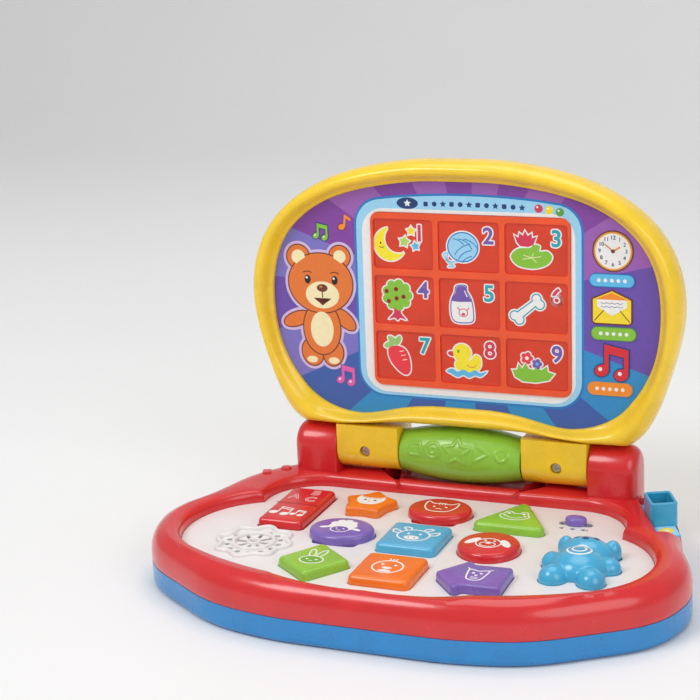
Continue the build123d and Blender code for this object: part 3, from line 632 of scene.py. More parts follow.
# Sizes of the CAD model, in mm; heights are above the table, radii round the hinge axis
parting_z = 14.0
rim_z = 33.0
deck_z = 26.0
key_top_z = 31.0
wall_top_z = 40.0
wall_front = 13.3
groove_r = 18.0
tower_inner = 75.5
tower_outer = 103.0
tower_r = 13.5
barrel_r = 12.5
screw_recess_r = 3.3
panel_top = 4.0

# Base: rim of the upper case
ground = deck_plane(0, 0, 0)
case_edges = planar_loops("base_lower_case", Vector((0, 0, parting_z * MM)), UP)
deck_loops = planar_loops("keyboard_deck", Vector((0, 0, deck_z * MM)), UP)
deck_loop = flat_loop(deck_loops[0], ground)
rim_centre = (0.0, -82.0)
case_loop = outer_ring([flat_loop(loop, ground) for loop in case_edges], rim_centre)


def rim_profile(width):
    """Section of the rim from the parting line over the crown to the deck, as inset and height."""
    crown = min(12.0, 0.5 * width)
    return [
        (0.5, parting_z), (0.0, 14.6), (0.0, 17.0), (0.0, 20.0), (0.35, 23.0), (1.2, 26.0), (2.6, 28.5),
        (4.4, 30.5), (6.6, 31.9), (min(9.2, crown - 0.6), 32.75), (crown, rim_z), (crown + 0.4, rim_z),
        (width - 4.2, rim_z - 0.15), (width - 2.7, rim_z - 0.6), (width - 1.5, rim_z - 1.5),
        (width - 0.75, rim_z - 2.8), (width - 0.4, rim_z - 4.3), (width - 0.25, 26.6), (width - 0.2, 25.4),
        (width - 0.2, 22.8), (width - 2.4, 22.8), (width - 2.6, 27.5), (width * 0.5, 29.0),
        (3.2, 24.0), (2.4, 20.0), (2.4, parting_z),
    ]


def scoop(x, y, inset):
    """How far the rim dips for the thumb at the middle of the front."""
    if y > -140 or inset < 4.0:
        return 0.0
    across = max(0.0, 1 - (x / 54.0) ** 2)
    edge = min(1.0, max(0.0, (inset - 4.6) / 2.2))
    return 3.0 * across ** 0.8 * edge * edge * (3 - 2 * edge)


angles = [tau * i / 420 for i in range(420)]
for i in range(len(deck_loop)):
    a, b, c = deck_loop[i - 2], deck_loop[i - 1], deck_loop[i]
    turn = atan2(c[1] - b[1], c[0] - b[0]) - atan2(b[1] - a[1], b[0] - a[0])
    if abs(sin(turn)) > 0.3:
        cusp = atan2(b[1] - rim_centre[1], b[0] - rim_centre[0]) % tau
        nearest = min(range(len(angles)), key=lambda k: abs(angles[k] - cusp))
        angles[nearest] = cusp
stations = []
for angle in angles:
    outer_r = radial(case_loop, rim_centre, angle)
    inner_r = radial(deck_loop, rim_centre, angle)
    stations.append((angle, outer_r, inner_r))

rim_bm = bmesh.new()
rim_rings = []
profile_length = len(rim_profile(20.0))
for k in range(profile_length):
    ring = []
    for angle, outer_r, inner_r in stations:
        inset, z = rim_profile(outer_r - inner_r)[k]
        x = rim_centre[0] + (outer_r - inset) * cos(angle)
        y = rim_centre[1] + (outer_r - inset) * sin(angle)
        if z > 24.0 and 9 <= k <= 17:
            z = max(26.4, z - scoop(x, y, inset))
        ring.append(above(x, y, z))
    rim_rings.append(ring)
loft(rim_bm, rim_rings, close_profile=True)
rim = new_piece("upper_case_rim", rim_bm, [red], "base")

roller_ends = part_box("roller")[1].x / MM


def roller_groove():
    return turned_solid([(-roller_ends - 0.7, groove_r), (roller_ends + 0.7, groove_r)])


boolean(rim, roller_groove())
for side in (-1, 1):
    boolean(rim, prism(rounded(side * 56.25, 22, 18.4, 18, 0.5), 0, 22.2, ground))
track_low, track_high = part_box("mode_label")
track_mid = (track_low + track_high) / 2
track_turn = 25.2               # degrees from the front of the toy
track_plane = Matrix.Translation((track_mid.x, track_mid.y, 0)) @ Matrix.Rotation(
    radians(track_turn), 4, "Z") @ Matrix.Scale(MM, 4)
boolean(rim, prism(rounded(0, 0, 15.6, 50, 1.5), 29.0, 60, track_plane))
for side in (-1, 1):
    boolean(rim, prism(rounded(side * 7.0, 0, 1.5, 41, 0.4), 15, 60, track_plane))
soften(rim, 40)
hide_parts("base_upper_case")

# Hinge towers: blocks with a round top and soft outer corners
for side, name in ((-1, "hinge_tower_left"), (1, "hinge_tower_right")):
    bm = bmesh.new()
    rings = []
    steps = [(tower_inner, 1.0), (tower_inner + 0.3, 0.3), (tower_inner + 1.1, 0.0)]
    for i in range(9):
        t = pi / 2 * i / 8
        steps.append((tower_outer - 7.0 + 7.0 * sin(t), 7.0 * (1 - cos(t))))
    for x, inset in steps:
        r = tower_r - inset
        outline = [(r * cos(pi * i / 32), r * sin(pi * i / 32)) for i in range(33)]
        outline += [(-r, -27.0), (r, -27.0)]
        rings.append([hinge + Vector((side * x, -y, z)) * MM for y, z in outline])
    loft(bm, rings, cap_first=True, cap_last=True)
    new_piece(name, bm, [red], "base", sharp=50)

# Low wall behind the lid's barrels, from tower to tower
def case_rear(x):
    """Where the case's rear edge is at x."""
    best = 0.0
    for (ax, ay), (bx, by) in zip(case_loop, case_loop[1:] + case_loop[:1]):
        if min(ax, bx) <= x <= max(ax, bx) and abs(bx - ax) > 1e-6:
            best = max(best, ay + (by - ay) * (x - ax) / (bx - ax))
    return best


wall_bm = bmesh.new()
rings = []
for i in range(63):
    x = (tower_inner + 2) * (i / 31 - 1)
    thick = case_rear(x) - wall_front
    r = min(3.0, thick * 0.45)
    section = [(wall_front, 22.0)]
    for mid, quarter in ((wall_front + r, 0), (wall_front + thick - r, 1)):
        for k in range(6):
            t = pi - pi / 2 * (quarter + k / 5)
            section.append((mid + r * cos(t), wall_top_z - r + r * sin(t)))
    section.append((wall_front + thick, 22.0))
    rings.append([above(x, y, z) for y, z in section])
loft(wall_bm, rings, cap_first=True, cap_last=True)
rear_wall = new_piece("rear_wall", wall_bm, [red], "base")
boolean(rear_wall, roller_groove())
soften(rear_wall, 40)

# Raised shapes on the left shoulder of the rim
shoulder = bmesh.new()
for x, y, loop in (
    (-98.0, -7.5, star(0, 0, 4.6, 0.55)),
    (-108.0, -13.5, ellipse(0, 0, 3.2)),
    (-116.5, -22.5, rounded(0, 0, 5.4, 5.4, 1.0, 20)),
):
    loop = even(loop, 60)
    rings = []
    for inset, z in ((0, rim_z - 2), (0, rim_z + 0.5), (0.25, rim_z + 0.9), (0.7, rim_z + 1.1)):
        rings.append([above(x + px, y + py, z) for px, py in grow(loop, -inset)])
    loft(shoulder, rings, cap_first=True, cap_last=True)
new_piece("shoulder_shapes", shoulder, [red], "base")

# Lid: bezel and back, both skinned over the CAD outline
lid_mid = (0.0, 90.0)
lid_zero = lid_plane(0)
lid_loop = flat_loop(planar_loops("lid_rear_shell", hinge, lid_front)[0], lid_zero)
lid_loop = [p for p in lid_loop if p[1] > 14.3]
window_loop = flat_loop(planar_loops("lid_front_bezel", hinge + lid_front * 13 * MM, lid_front)[1], lid_zero)
lid_stations = []
for i in range(480):
    angle = tau * i / 480
    lid_stations.append((angle, radial(lid_loop, lid_mid, angle), radial(window_loop, lid_mid, angle)))


def lid_skin(profile):
    """Rings over the lid's outline; profile gives insets and heights for each station."""
    rings = []
    for k in range(len(profile(15.0, 100.0))):
        ring = []
        for angle, outer_r, inner_r in lid_stations:
            inset, w = profile(outer_r - inner_r, outer_r)[k]
            u = lid_mid[0] + (outer_r - inset) * cos(angle)
            v = lid_mid[1] + (outer_r - inset) * sin(angle)
            ring.append(lid_zero @ Vector((u, v, w)))
        rings.append(ring)
    return rings


def bezel_profile(width, reach):
    k = width / 15.0
    return [
        (0.0, 0.1), (0.0, 3.0), (0.15 * k, 5.0), (0.7 * k, 7.4), (1.7 * k, 9.5), (3.0 * k, 11.3),
        (4.6 * k, 12.5), (6.2 * k, 13.0), (7.8 * k, 12.8), (9.2 * k, 12.0), (10.6 * k, 10.4),
        (11.8 * k, 8.6), (12.9 * k, 7.3), (14.0 * k, 6.6), (14.7 * k, 6.2), (width, 5.4), (width, 4.02),
        (3.4, 4.02), (2.4, 3.0), (2.4, 0.1),
    ]


bm = bmesh.new()
loft(bm, lid_skin(bezel_profile), close_profile=True)
bezel = new_piece("lid_bezel", bm, [yellow], "lid")


def back_profile(width, reach):
    shell = [(0.0, -0.1), (0.0, -1.5)]
    for i in range(1, 9):
        t = pi / 2 * i / 8
        shell.append((10.0 * (1 - cos(t)), -1.5 - 11.0 * sin(t)))
    shell += [(16.0, -12.85), (30.0, -13.0), (reach - 4.0, -13.0)]
    return shell


def hollow_profile(width, reach):
    return [(9.0, -10.6), (4.5, -8.0), (2.4, -3.0), (2.4, -0.1)]


bm = bmesh.new()
loft(bm, lid_skin(hollow_profile) + lid_skin(back_profile), cap_first=True, cap_last=True)
back = new_piece("lid_back", bm, [yellow], "lid")

# the roller looks out through an arch that follows its own barrel shape
roller_low, roller_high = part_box("roller")
roller_mid_r = (roller_high.z - roller_low.z) / 2 / MM
roller_end_r = 12.3
bow = (roller_ends ** 2 + (roller_mid_r - roller_end_r) ** 2) / (2 * (roller_mid_r - roller_end_r))


def roller_r(x):
    return roller_mid_r - bow + sqrt(max(bow * bow - x * x, 0.0))


arch = []
for i in range(25):
    x = (roller_ends + 0.7) * (i / 12 - 1)
    arch.append((x, roller_r(min(abs(x), roller_ends)) + 0.9))
for shell in (bezel, back):
    boolean(shell, turned_solid(arch))
    soften(shell, 40)
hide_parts("lid_front_bezel")
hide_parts("lid_rear_shell")

# Hinge barrels with their necks
screw_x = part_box("lid_hinge_screws")[1].x / MM - 2.8
for side, name in ((-1, "hinge_barrel_left"), (1, "hinge_barrel_right")):
    section = [(barrel_r, 15.4)]
    section += [(barrel_r * cos(pi * i / 32), -barrel_r * sin(pi * i / 32)) for i in range(33)]
    section += [(-barrel_r, 15.4)]
    rings = []
    bm = bmesh.new()
    for x, inset in ((37.1, 0.8), (37.3, 0.25), (37.9, 0), (74.4, 0), (74.95, 0.25), (75.15, 0.8)):
        ring = []
        for w, v in section:
            shrink = 1 - inset / barrel_r
            ring.append(lid_zero @ Vector((side * x, v * (shrink if v < 0 else 1), w * shrink)))
        rings.append(ring)
    loft(bm, rings, cap_first=True, cap_last=True)
    barrel = new_piece(name, bm, [yellow], "lid")
    boolean(barrel, prism(ellipse(side * screw_x, 0, screw_recess_r, n=32), 8.5, 20, lid_zero))
    soften(barrel, 40)

# Key caps with soft edges, over the outlines of the CAD caps
key_looks = {
    "star_key": ("orange_key", orange), "cat_key": ("red_key", red), "triangle_key": ("green_key", green),
    "sheep_key": ("purple_key", purple), "cow_key": ("blue_key", sky), "dog_key": ("red_key", red),
    "rhombus_key": ("green_key", green), "chick_key": ("orange_key", orange),
    "arrow_key": ("purple_key", purple), "rocker_key": ("red_key", red),
}


def deck_hole_near(x, y):
    """Outline of the deck's opening round a point."""
    best = None
    for loop in deck_loops[1:]:
        points = flat_loop(loop, ground)
        cx = (min(p[0] for p in points) + max(p[0] for p in points)) / 2
        cy = (min(p[1] for p in points) + max(p[1] for p in points)) / 2
        reach = hypot(cx - x, cy - y)
        if best is None or reach < best[0]:
            best = (reach, points)
    return best[1]


def cap_rings(loop, soft, foot_z=23.4):
    """A cap over an outline, with an edge rounded by soft."""
    rings = [(0.05, foot_z), (0.05, key_top_z - soft - 1.2)]
    for i in range(1, 7):
        t = pi / 2 * i / 6
        rings.append((0.05 + 0.25 + soft * (1 - cos(t)), key_top_z - soft + soft * sin(t)))
    out = []
    for inset, z in rings:
        out.append([above(x, y, z) for x, y in grow(loop, -inset)])
    return out


key_mid = {}
for name, (slot_name, look) in key_looks.items():
    low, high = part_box(name)
    mid = ((low.x + high.x) / 2 / MM, ((low.y + high.y) / 2 - hinge.y) / MM)
    hole = even(deck_hole_near(*mid), 180)
    clear_by = 0.7 if name == "rocker_key" else 0.3
    loop = grow(hole, -clear_by)
    if name in ("cat_key", "sheep_key"):
        loop = ellipse(*mid, 18.5, 15.0, n=180)
    key_mid[name] = mid
    bm = bmesh.new()
    soft = 1.3 if name in ("star_key", "arrow_key") else 2.6
    loft(bm, cap_rings(loop, soft), cap_first=True, cap_last=True)
    cap = new_piece(name + "_cap", bm, [look], name, sharp=50)
    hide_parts(name)


# Bear pad: a soft figure moulded from overlapping ovals
def moulded(name, balls, voxel, cut_low, materials, body):
    """One smooth skin over several ovals, each (x, y, z, rx, ry, rz, turn) in mm from under the hinge."""
    bm = bmesh.new()
    for x, y, z, rx, ry, rz, turn in balls:
        before = len(bm.verts)
        bmesh.ops.create_icosphere(bm, subdivisions=4, radius=1.0)
        bm.verts.ensure_lookup_table()
        place = deck_plane(x, y, z, turn) @ Matrix.Diagonal((rx, ry, rz, 1))
        for vertex in bm.verts[before:]:
            vertex.co = place @ vertex.co
    piece = new_piece(name, bm, materials, None)
    remesh = piece.modifiers.new("skin", "REMESH")
    remesh.mode = "VOXEL"
    remesh.voxel_size = voxel * MM
    relax = piece.modifiers.new("relax", "SMOOTH")
    relax.factor = 0.5
    relax.iterations = 10
    bake(piece)
    bm = bmesh.new()
    bm.from_mesh(piece.data)
    cut = bmesh.ops.bisect_plane(
        bm, geom=bm.verts[:] + bm.edges[:] + bm.faces[:], plane_co=(0, 0, cut_low * MM),
        plane_no=(0, 0, -1), clear_outer=True)
    rim_edges = [e for e in cut["geom_cut"] if isinstance(e, bmesh.types.BMEdge)]
    bmesh.ops.edgeloop_fill(bm, edges=rim_edges)
    bm.to_mesh(piece.data)
    bm.free()
    piece.data.materials.clear()
    for material in materials:
        piece.data.materials.append(material)
    soften(piece, 50)
    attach(piece, body)
    return piece


bear_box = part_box("bear_pad")
bear_x = (bear_box[0].x + bear_box[1].x) / 2 / MM
bear_y = -99.0
pad_balls = [
    (0, -1, 27.5, 15.3, 14.6, 10.8, 0), (0, 13, 28.5, 14.7, 10.6, 10.6, 0),
    (-12.5, 20, 29, 4.6, 4.6, 7.2, 0), (12.5, 20, 29, 4.6, 4.6, 7.2, 0),
    (-15, 3, 27, 6.1, 6.1, 6.6, 0), (15, 3, 27, 6.1, 6.1, 6.6, 0),
    (-10, -15, 26.5, 7.6, 7.6, 8.0, 0), (10, -15, 26.5, 7.6, 7.6, 8.0, 0),
    (0, 2, 24, 15.3, 15.0, 8.0, 0), (0, 13, 24, 14.7, 10.6, 8.0, 0),
]
pad = moulded("bear_figure", [(bear_x + x, bear_y + y, *rest) for x, y, *rest in pad_balls], 0.75, 22.5,
              [bear_blue], "bear_pad")
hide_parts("bear_pad")


def skin_of(piece):
    bm = bmesh.new()
    bm.from_mesh(piece.data)
    tree = BVHTree.FromBMesh(bm)
    bm.free()
    return tree


def fine(points, step=0.6):
    """A closed outline with extra points, so that it can follow a curved skin."""
    total = sum(hypot(points[i][0] - points[i - 1][0], points[i][1] - points[i - 1][1])
                for i in range(len(points)))
    return even(points, max(12, int(total / step)))


pad_skin = skin_of(pad)
face = Print("bear_figure_print", deck_plane(bear_x, bear_y, 26), "bear_pad", "blue_key", base=0.1)
for r, width in ((6.3, 0.9), (3.6, 0.9)):
    face.line(fine(ellipse(0, 0.5, r)), width, "white", closed=True)
for side in (-1, 1):
    face.line(fine(ellipse(side * 5.2, 15.5, 1.0, 1.3), 0.3), 1.1, "navy", closed=True)
face.line(fine(ellipse(0, 12.6, 1.3, 0.8), 0.3), 0.9, "navy", closed=True)
face.done(drape=pad_skin)

# Roller with raised line shapes round it
roller_shapes = [
    (-26.0, rounded(0, 0, 7.0, 7.0, 0.8)), (-14.5, ellipse(0, 0, 4.4)), (-14.5, ellipse(0, 0, 1.9)),
    (0.0, star(0, 0, 8.4, 0.52, turn=90)), (14.0, [(-3.5, 5.0), (4.8, 0.0), (-3.5, -5.0)]),
    (26.0, ellipse(0, 0, 3.4)),
]


def gap_to(points, x, y):
    """Distance from a point to a closed outline."""
    best = 1e9
    for i in range(len(points)):
        ax, ay = points[i - 1]
        bx, by = points[i]
        ex, ey = bx - ax, by - ay
        t = max(0.0, min(1.0, ((x - ax) * ex + (y - ay) * ey) / (ex * ex + ey * ey)))
        best = min(best, hypot(x - ax - ex * t, y - ay - ey * t))
    return best


def roller_relief(x, along):
    """Height of the raised lines at a distance along and round the roller, in mm."""
    height = 0.0
    for cx, points in roller_shapes:
        if abs(x - cx) < 10 and abs(along) < 11:
            d = gap_to(points, x - cx, along)
            height = max(height, 0.5 * max(0.0, min(1.0, (1.1 - d) / 0.6)))
    return height


bm = bmesh.new()
rings = []
roller_front = radians(-22.0)       # where the middle of the shapes faces, above the horizontal
for i in range(181):
    x = roller_ends * (i / 90 - 1)
    r = roller_r(x)
    ring = []
    for k in range(240):
        t = tau * k / 240
        along = min(((t - facing + pi) % tau - pi for facing in (0.0, pi)), key=abs) * r
        lift = roller_relief(x, along) - 0.35
        angle = pi + roller_front - t
        ring.append(hinge + Vector((x, (r + lift) * cos(angle), (r + lift) * sin(angle))) * MM)
    rings.append(ring)
ends = []
for x, last in ((-roller_ends, rings[0]), (roller_ends, rings[-1])):
    hub = hinge + Vector((x * MM, 0, 0))
    ends.append([hub + (p - hub) * 0.3 for p in last])
loft(bm, [ends[0]] + rings + [ends[1]], cap_first=True, cap_last=True)
roller = new_piece("roller_barrel", bm, [green], "roller", sharp=60)
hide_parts("roller")

# Printed panel
screen_mid = (6.0, 90.0)


def frame_outline(amount):
    """The arched frame printed round the screen."""
    left, right, low, high = -61.5 - amount, 70.5 + amount, 33.5 - amount, 147.8 + amount
    r = 15.0 + amount
    points = []
    for cx, cy, quarter in ((right - r, high - r, 0), (left + r, high - r, 1),
                            (left + r, low + r, 2), (right - r, low + r, 3)):
        for i in range(9):
            t = pi / 2 * (quarter + i / 8)
            points.append((cx + r * cos(t), cy + r * sin(t)))
        if quarter == 0:
            for i in range(1, 12):
                s = i / 12
                points.append((right - r + (left - right + 2 * r) * s, high + 3.2 * sin(pi * s) ** 0.8))
    return points


lens_edge = rounded(*screen_mid, 117.4, 101.4, 5)


def band(sheet, outer, inner, colour, start=0.0, stop=tau, steps=None):
    """A closed slab between two outlines seen from the middle of the screen."""
    count = steps or max(3, int((stop - start) / tau * 240))
    sheet.level += sheet.step
    index = sheet.index(colour)
    made = []
    for i in range(count + 1):
        angle = start + (stop - start) * i / count
        near, far = radial(inner, screen_mid, angle), radial(outer, screen_mid, angle)
        column = []
        for reach, height in ((near, 0), (near, sheet.level), (far, sheet.level), (far, 0)):
            place = (screen_mid[0] + reach * cos(angle), screen_mid[1] + reach * sin(angle), height)
            column.append(sheet.bm.verts.new(place))
        made.append(column)
    whole = stop - start > tau - 1e-6
    pairs = list(zip(made[:-1], made[1:]))
    for a, b in pairs:
        for i in range(4):
            k = (i + 1) % 4
            face = sheet.bm.faces.new((a[i], a[k], b[k], b[i]))
            face.material_index = index
    if whole:
        bmesh.ops.remove_doubles(sheet.bm, verts=made[0] + made[-1], dist=1e-6)
    else:
        for column in (made[0], made[-1]):
            face = sheet.bm.faces.new(column)
            face.material_index = index


panel_print = Print("panel_rays", lid_plane(panel_top), "lid", "printed_panel", step=0.0, base=0.02)
window_edge = grow(window_loop, 0.6)
ray_edges = [0, 14, 33, 48, 62, 75, 88, 101, 116, 131, 146, 160, 175, 190, 205, 222, 238, 255, 272, 290,
             306, 322, 341, 360]
for i, (a, b) in enumerate(zip(ray_edges, ray_edges[1:])):
    height = sin(radians((a + b) / 2))
    if height > 0.35:
        pair = ("ray_1", "ray_2")
    elif height > -0.35:
        pair = ("ray_3", "ray_4")
    else:
        pair = ("ray_5", "ray_6")
    band(panel_print, window_edge, frame_outline(-3), pair[i % 2], radians(a), radians(b))
panel_print.done()

frame_print = Print("screen_frame_print", lid_plane(panel_top), "lid", "printed_panel", base=0.04)
band(frame_print, frame_outline(1.3), lens_edge, "blue")
band(frame_print, frame_outline(0), lens_edge, "pale")
band(frame_print, rounded(4.5, 89.0, 125, 107.5, 13), lens_edge, "white")
frame_print.fill(ellipse(-30, 146.0, 6.4, 3.3), "navy")
frame_print.fill(star(-30, 146.0, 2.2, 0.5))
for i in range(12):
    x = -19 + 5.1 * i
    y = 146.2 - 0.0006 * (x - 4) ** 2
    if i % 3 == 0:
        mark = rounded(x, y, 2.6, 2.6, 0.6)
    elif i % 3 == 1:
        mark = ellipse(x, y, 1.4, n=20)
    else:
        mark = star(x, y, 1.9, 0.5)
    frame_print.fill(mark, "navy")
for x, y, colour in ((46.5, 145.4, "crimson"), (52.5, 144.8, "yellow"), (58.5, 143.8, "leaf")):
    frame_print.fill(ellipse(x, y, 2.3, n=24), colour)
    frame_print.fill(ellipse(x - 0.7, y + 0.8, 0.6, n=12))
frame_print.done()


def crescent(cx, cy, r, inner, shift, turn):
    """A crescent moon: a circle less a second one shifted towards turn."""
    alpha = acos((r * r + shift * shift - inner * inner) / (2 * r * shift))
    beta = acos((r * r - shift * shift - inner * inner) / (2 * shift * inner))
    t = radians(turn)
    points = ellipse(cx, cy, r, start=t + alpha, stop=t + tau - alpha, n=36)
    points += ellipse(cx + shift * cos(t), cy + shift * sin(t), inner, start=t + tau - beta,
                      stop=t + beta, n=26)
    return points


def moved(points, x, y, k=1.0):
    return [(x + px * k, y + py * k) for px, py in points]


def notes(sheet, x, y, k, colour, line="brown"):
    """Two joined quavers."""
    shapes = [
        ellipse(-4.6, -4.4, 3.2, 2.6, 20), ellipse(4.2, -6.0, 3.2, 2.6, 20),
        [(-3.4, -4.5), (-1.4, -4.5), (-1.4, 4.4), (-3.4, 4.8)],
        [(5.4, -6.0), (7.4, -6.0), (7.4, 3.6), (5.4, 3.2)],
        [(-3.4, 7.6), (7.4, 5.4), (7.4, 1.6), (-3.4, 3.8)],
    ]
    for points in shapes:
        sheet.fill(grow(moved(points, x, y, k), 0.55), line)
    for points in shapes:
        sheet.fill(moved(points, x, y, k), colour)
    for px, py in ((-5.2, -3.8), (3.6, -5.4)):
        sheet.fill(ellipse(x + px * k, y + py * k, 0.9 * k, n=14))


# A plain teddy bear
teddy = Print("panel_teddy", lid_plane(panel_top), "lid", "printed_panel", base=0.05)
tx, ty = -85.0, 84.0
fur = [
    ellipse(tx - 13.5, ty + 28.5, 7.0), ellipse(tx + 12.5, ty + 29.5, 6.4),
    ellipse(tx - 15.5, ty - 8.5, 8.8, 4.0, 20), ellipse(tx + 14.5, ty - 7.5, 8.0, 4.0, -42),
    ellipse(tx - 6.5, ty - 28.0, 6.6, 8.0, 10), ellipse(tx + 6.5, ty - 28.0, 6.2, 7.6, -10),
    ellipse(tx, ty - 13.5, 11.5, 15.5), ellipse(tx, ty + 13.5, 20.0, 17.5),
]
for points in fur:
    teddy.fill(grow(points, 2.3), "glow")
for points in fur:
    teddy.fill(grow(points, 0.7), "brown")
    teddy.fill(points, "bear")
for px, py, r in ((-13.5, 28.5, 4.2), (12.5, 29.5, 3.8)):
    teddy.fill(ellipse(tx + px, ty + py, r), "cream")
teddy.fill(ellipse(tx, ty + 13.5, 19.2, 16.7), "bear")
teddy.fill(ellipse(tx, ty - 14.0, 7.2, 10.5), "cream")
teddy.fill(ellipse(tx + 1.0, ty + 6.5, 10.5, 8.0), "cream")
teddy.fill(ellipse(tx + 1.0, ty + 10.6, 3.4, 2.3), "brown")
teddy.fill(ellipse(tx + 0.2, ty + 11.3, 1.0, 0.5), "tan")
teddy.line([(tx + 1, ty + 8.3), (tx + 1, ty + 5.2)], 0.7, "brown")
smile = smooth([(-4.5, 4.6), (-2, 2.6), (1, 2.0), (4, 2.6), (6.5, 4.6)], closed=False)
teddy.fill(moved(smile + [(1, 0.2)], tx, ty), "brown")
for px in (-8.0, 9.0):
    teddy.fill(ellipse(tx + px, ty + 15.5, 1.9, 2.6), "black")
    teddy.fill(ellipse(tx + px - 0.5, ty + 16.5, 0.7))
    teddy.line(ellipse(tx + px, ty + 18.6, 3.0, 1.6, start=0.6, stop=2.5, n=8), 0.6, "brown")
for px in (-9.5, 9.5):
    teddy.fill(ellipse(tx + px * 0.72, ty - 32.5, 3.4, 2.0), "cream")
teddy.done()

side_print = Print("panel_pictures", lid_plane(panel_top), "lid", "printed_panel", base=0.05)
notes(side_print, -84.0, 128.0, 0.62, "green", "navy")
side_print.fill(ellipse(-70.5, 131.0, 2.6, 2.2, 20), "brown")
side_print.fill(ellipse(-70.5, 131.0, 2.0, 1.7, 20), "orange")
side_print.line([(-68.9, 131.2), (-68.2, 137.6)], 1.3, "orange")
side_print.line([(-68.2, 137.4), (-65.4, 135.4)], 1.5, "orange")
notes(side_print, -71.0, 43.5, 0.75, "pink", "violet")
# clock
cx, cy = 88.0, 123.5
for r, colour in ((11.4, "brown"), (10.7, "tan"), (9.8, "cream"), (9.4, "white")):
    side_print.fill(ellipse(cx, cy, r), colour)
for hour in range(1, 13):
    t = radians(90 - 30 * hour)
    side_print.text(str(hour), cx + 7.4 * cos(t), cy + 7.4 * sin(t), 3.0, "navy", 0.05)
side_print.line([(cx, cy), (cx - 4.4, cy + 3.6)], 0.8, "tan")
side_print.line([(cx, cy), (cx + 3.6, cy + 2.2)], 1.0, "tan")
side_print.fill(ellipse(cx, cy, 1.1, n=16), "brown")
# envelope
ex, ey = 87.5, 92.0
body_of_letter = [(-10.6, 4.6), (0, 9.4), (10.6, 4.6), (10.6, -7.6), (9.4, -8.6), (-9.4, -8.6), (-10.6, -7.6)]
side_print.fill(grow(moved(body_of_letter, ex, ey), 0.8), "brown")
side_print.fill(moved(body_of_letter, ex, ey), "yellow")
side_print.fill(moved([(-9.6, 4.6), (0, 8.6), (9.6, 4.6)], ex, ey), "orange")
side_print.fill(moved([(-8.2, 4.6), (8.2, 4.6), (8.2, 0.6), (0, -4.4), (-8.2, 0.6)], ex, ey))
for i in range(2):
    wave = [(ex - 6 + 1.5 * k, ey + 2.6 - 2.0 * i + 0.3 * (-1) ** k) for k in range(9)]
    side_print.line(smooth(wave, 3, False), 0.45, "grey")
side_print.line(moved([(-9.8, -7.4), (-4.6, -1.4)], ex, ey), 0.5, "brown")
side_print.line(moved([(9.8, -7.4), (4.6, -1.4)], ex, ey), 0.5, "brown")
notes(side_print, 87.5, 62.0, 1.25, "red", "navy")
for x, y, colour, edge in (
    (87.5, 107.3, "sky", "blue"), (88.5, 77.6, "green", "leaf"), (86.5, 46.2, "orange", "tan"),
):
    side_print.fill(rounded(x, y, 25.4, 7.6, 3.7), edge)
    side_print.fill(rounded(x, y, 24.4, 6.6, 3.2), colour)
    for i in range(5):
        side_print.fill(ellipse(x - 7.2 + 3.6 * i, y, 1.05, n=16))
side_print.done()

# Dimpled faces of the nine screen cells, with their pictures
cell_pitch = (39.0, 32.6)
cells = Print("screen_cell_faces", lid_plane(panel_top), "lid", "screen_lens", step=0.0, base=0.05)
for i in range(3):
    for k in range(3):
        cells.fill(rounded(screen_mid[0] + (i - 1) * cell_pitch[0], screen_mid[1] + (1 - k) * cell_pitch[1],
                           35.8, 28.4, 1.9), lens_cell)
cells.done()


def moon(p, x, y):
    shapes = [
        (crescent(x - 5.5, y, 9.6, 8.4, 5.8, 32), "lemon"),
        (star(x + 3.2, y + 1.8, 3.3, 0.6, turn=80), "lime"),
        (star(x + 7.4, y + 8.0, 2.7, 0.6), "yellow"),
        (star(x + 9.8, y - 0.6, 2.6, 0.6, turn=100), "sky"),
    ]
    p.sticker(shapes, 0.75)
    p.fill(ellipse(x - 11.2, y + 0.6, 0.5, 0.7, n=12), "brown")
    p.line(ellipse(x - 10.6, y - 1.4, 1.2, 0.8, start=pi, stop=tau, n=8), 0.35, "brown")


def yarn(p, x, y):
    loops = [(-2, -8), (-7, -8.5), (-10.5, -5), (-8, -3.6), (-8.4, -8), (-4.6, -11), (-7.6, -11.4)]
    tail = smooth(loops, 5, False)
    p.line(moved(tail, x - 2, y), 2.2)
    p.sticker([(ellipse(x - 1, y, 9.2, 8.6), "pale")], 0.8)
    p.line(moved(tail, x - 2, y), 1.0, "pale")
    p.line(ellipse(x - 1, y, 8.9, 8.3), 0.7, "blue", closed=True)
    for k in (-4.4, -1.2, 2.0):
        arc = ellipse(x - 2.5 + k, y - 5.5, 9.0, 10.0, start=0.35 + 0.1 * abs(k), stop=1.55, n=14)
        p.line(arc, 0.5, "blue")
    for k in (0.0, 2.6, 5.0):
        arc = ellipse(x + 5.5, y - 9.5 - 0.4 * k, 12.5 - k, 11.5 - k, start=1.75, stop=2.7, n=12)
        p.line(arc, 0.5, "blue")


def lily(p, x, y):
    leaf = smooth([(-12, -4), (-8, 0.4), (-1, 1.2), (1.0, 3.0), (4.6, 2.4), (4.4, -0.6), (9, -0.4),
                   (11.6, -3.6), (8.6, -8), (1, -10.4), (-8, -9)], 5)
    bloom = [(-9, 8.2), (-6.6, 6.6), (-6, 9.4), (-4, 7.8), (-2.8, 10.6), (-1.2, 7.8), (1, 9.4), (1.2, 6.6),
             (3.8, 7.6), (2.0, 3.0), (-1, 1.6), (-5.6, 2.0), (-7.4, 4.0)]
    p.sticker([(moved(bloom, x - 1, y), "crimson"), (moved(leaf, x, y), "green")], 0.75)
    for a in (20, 80, 150, 200, 300):
        t = radians(a)
        p.line([(x, y - 4.4), (x + 5.4 * cos(t), y - 4.4 + 2.8 * sin(t))], 0.4, "cream")


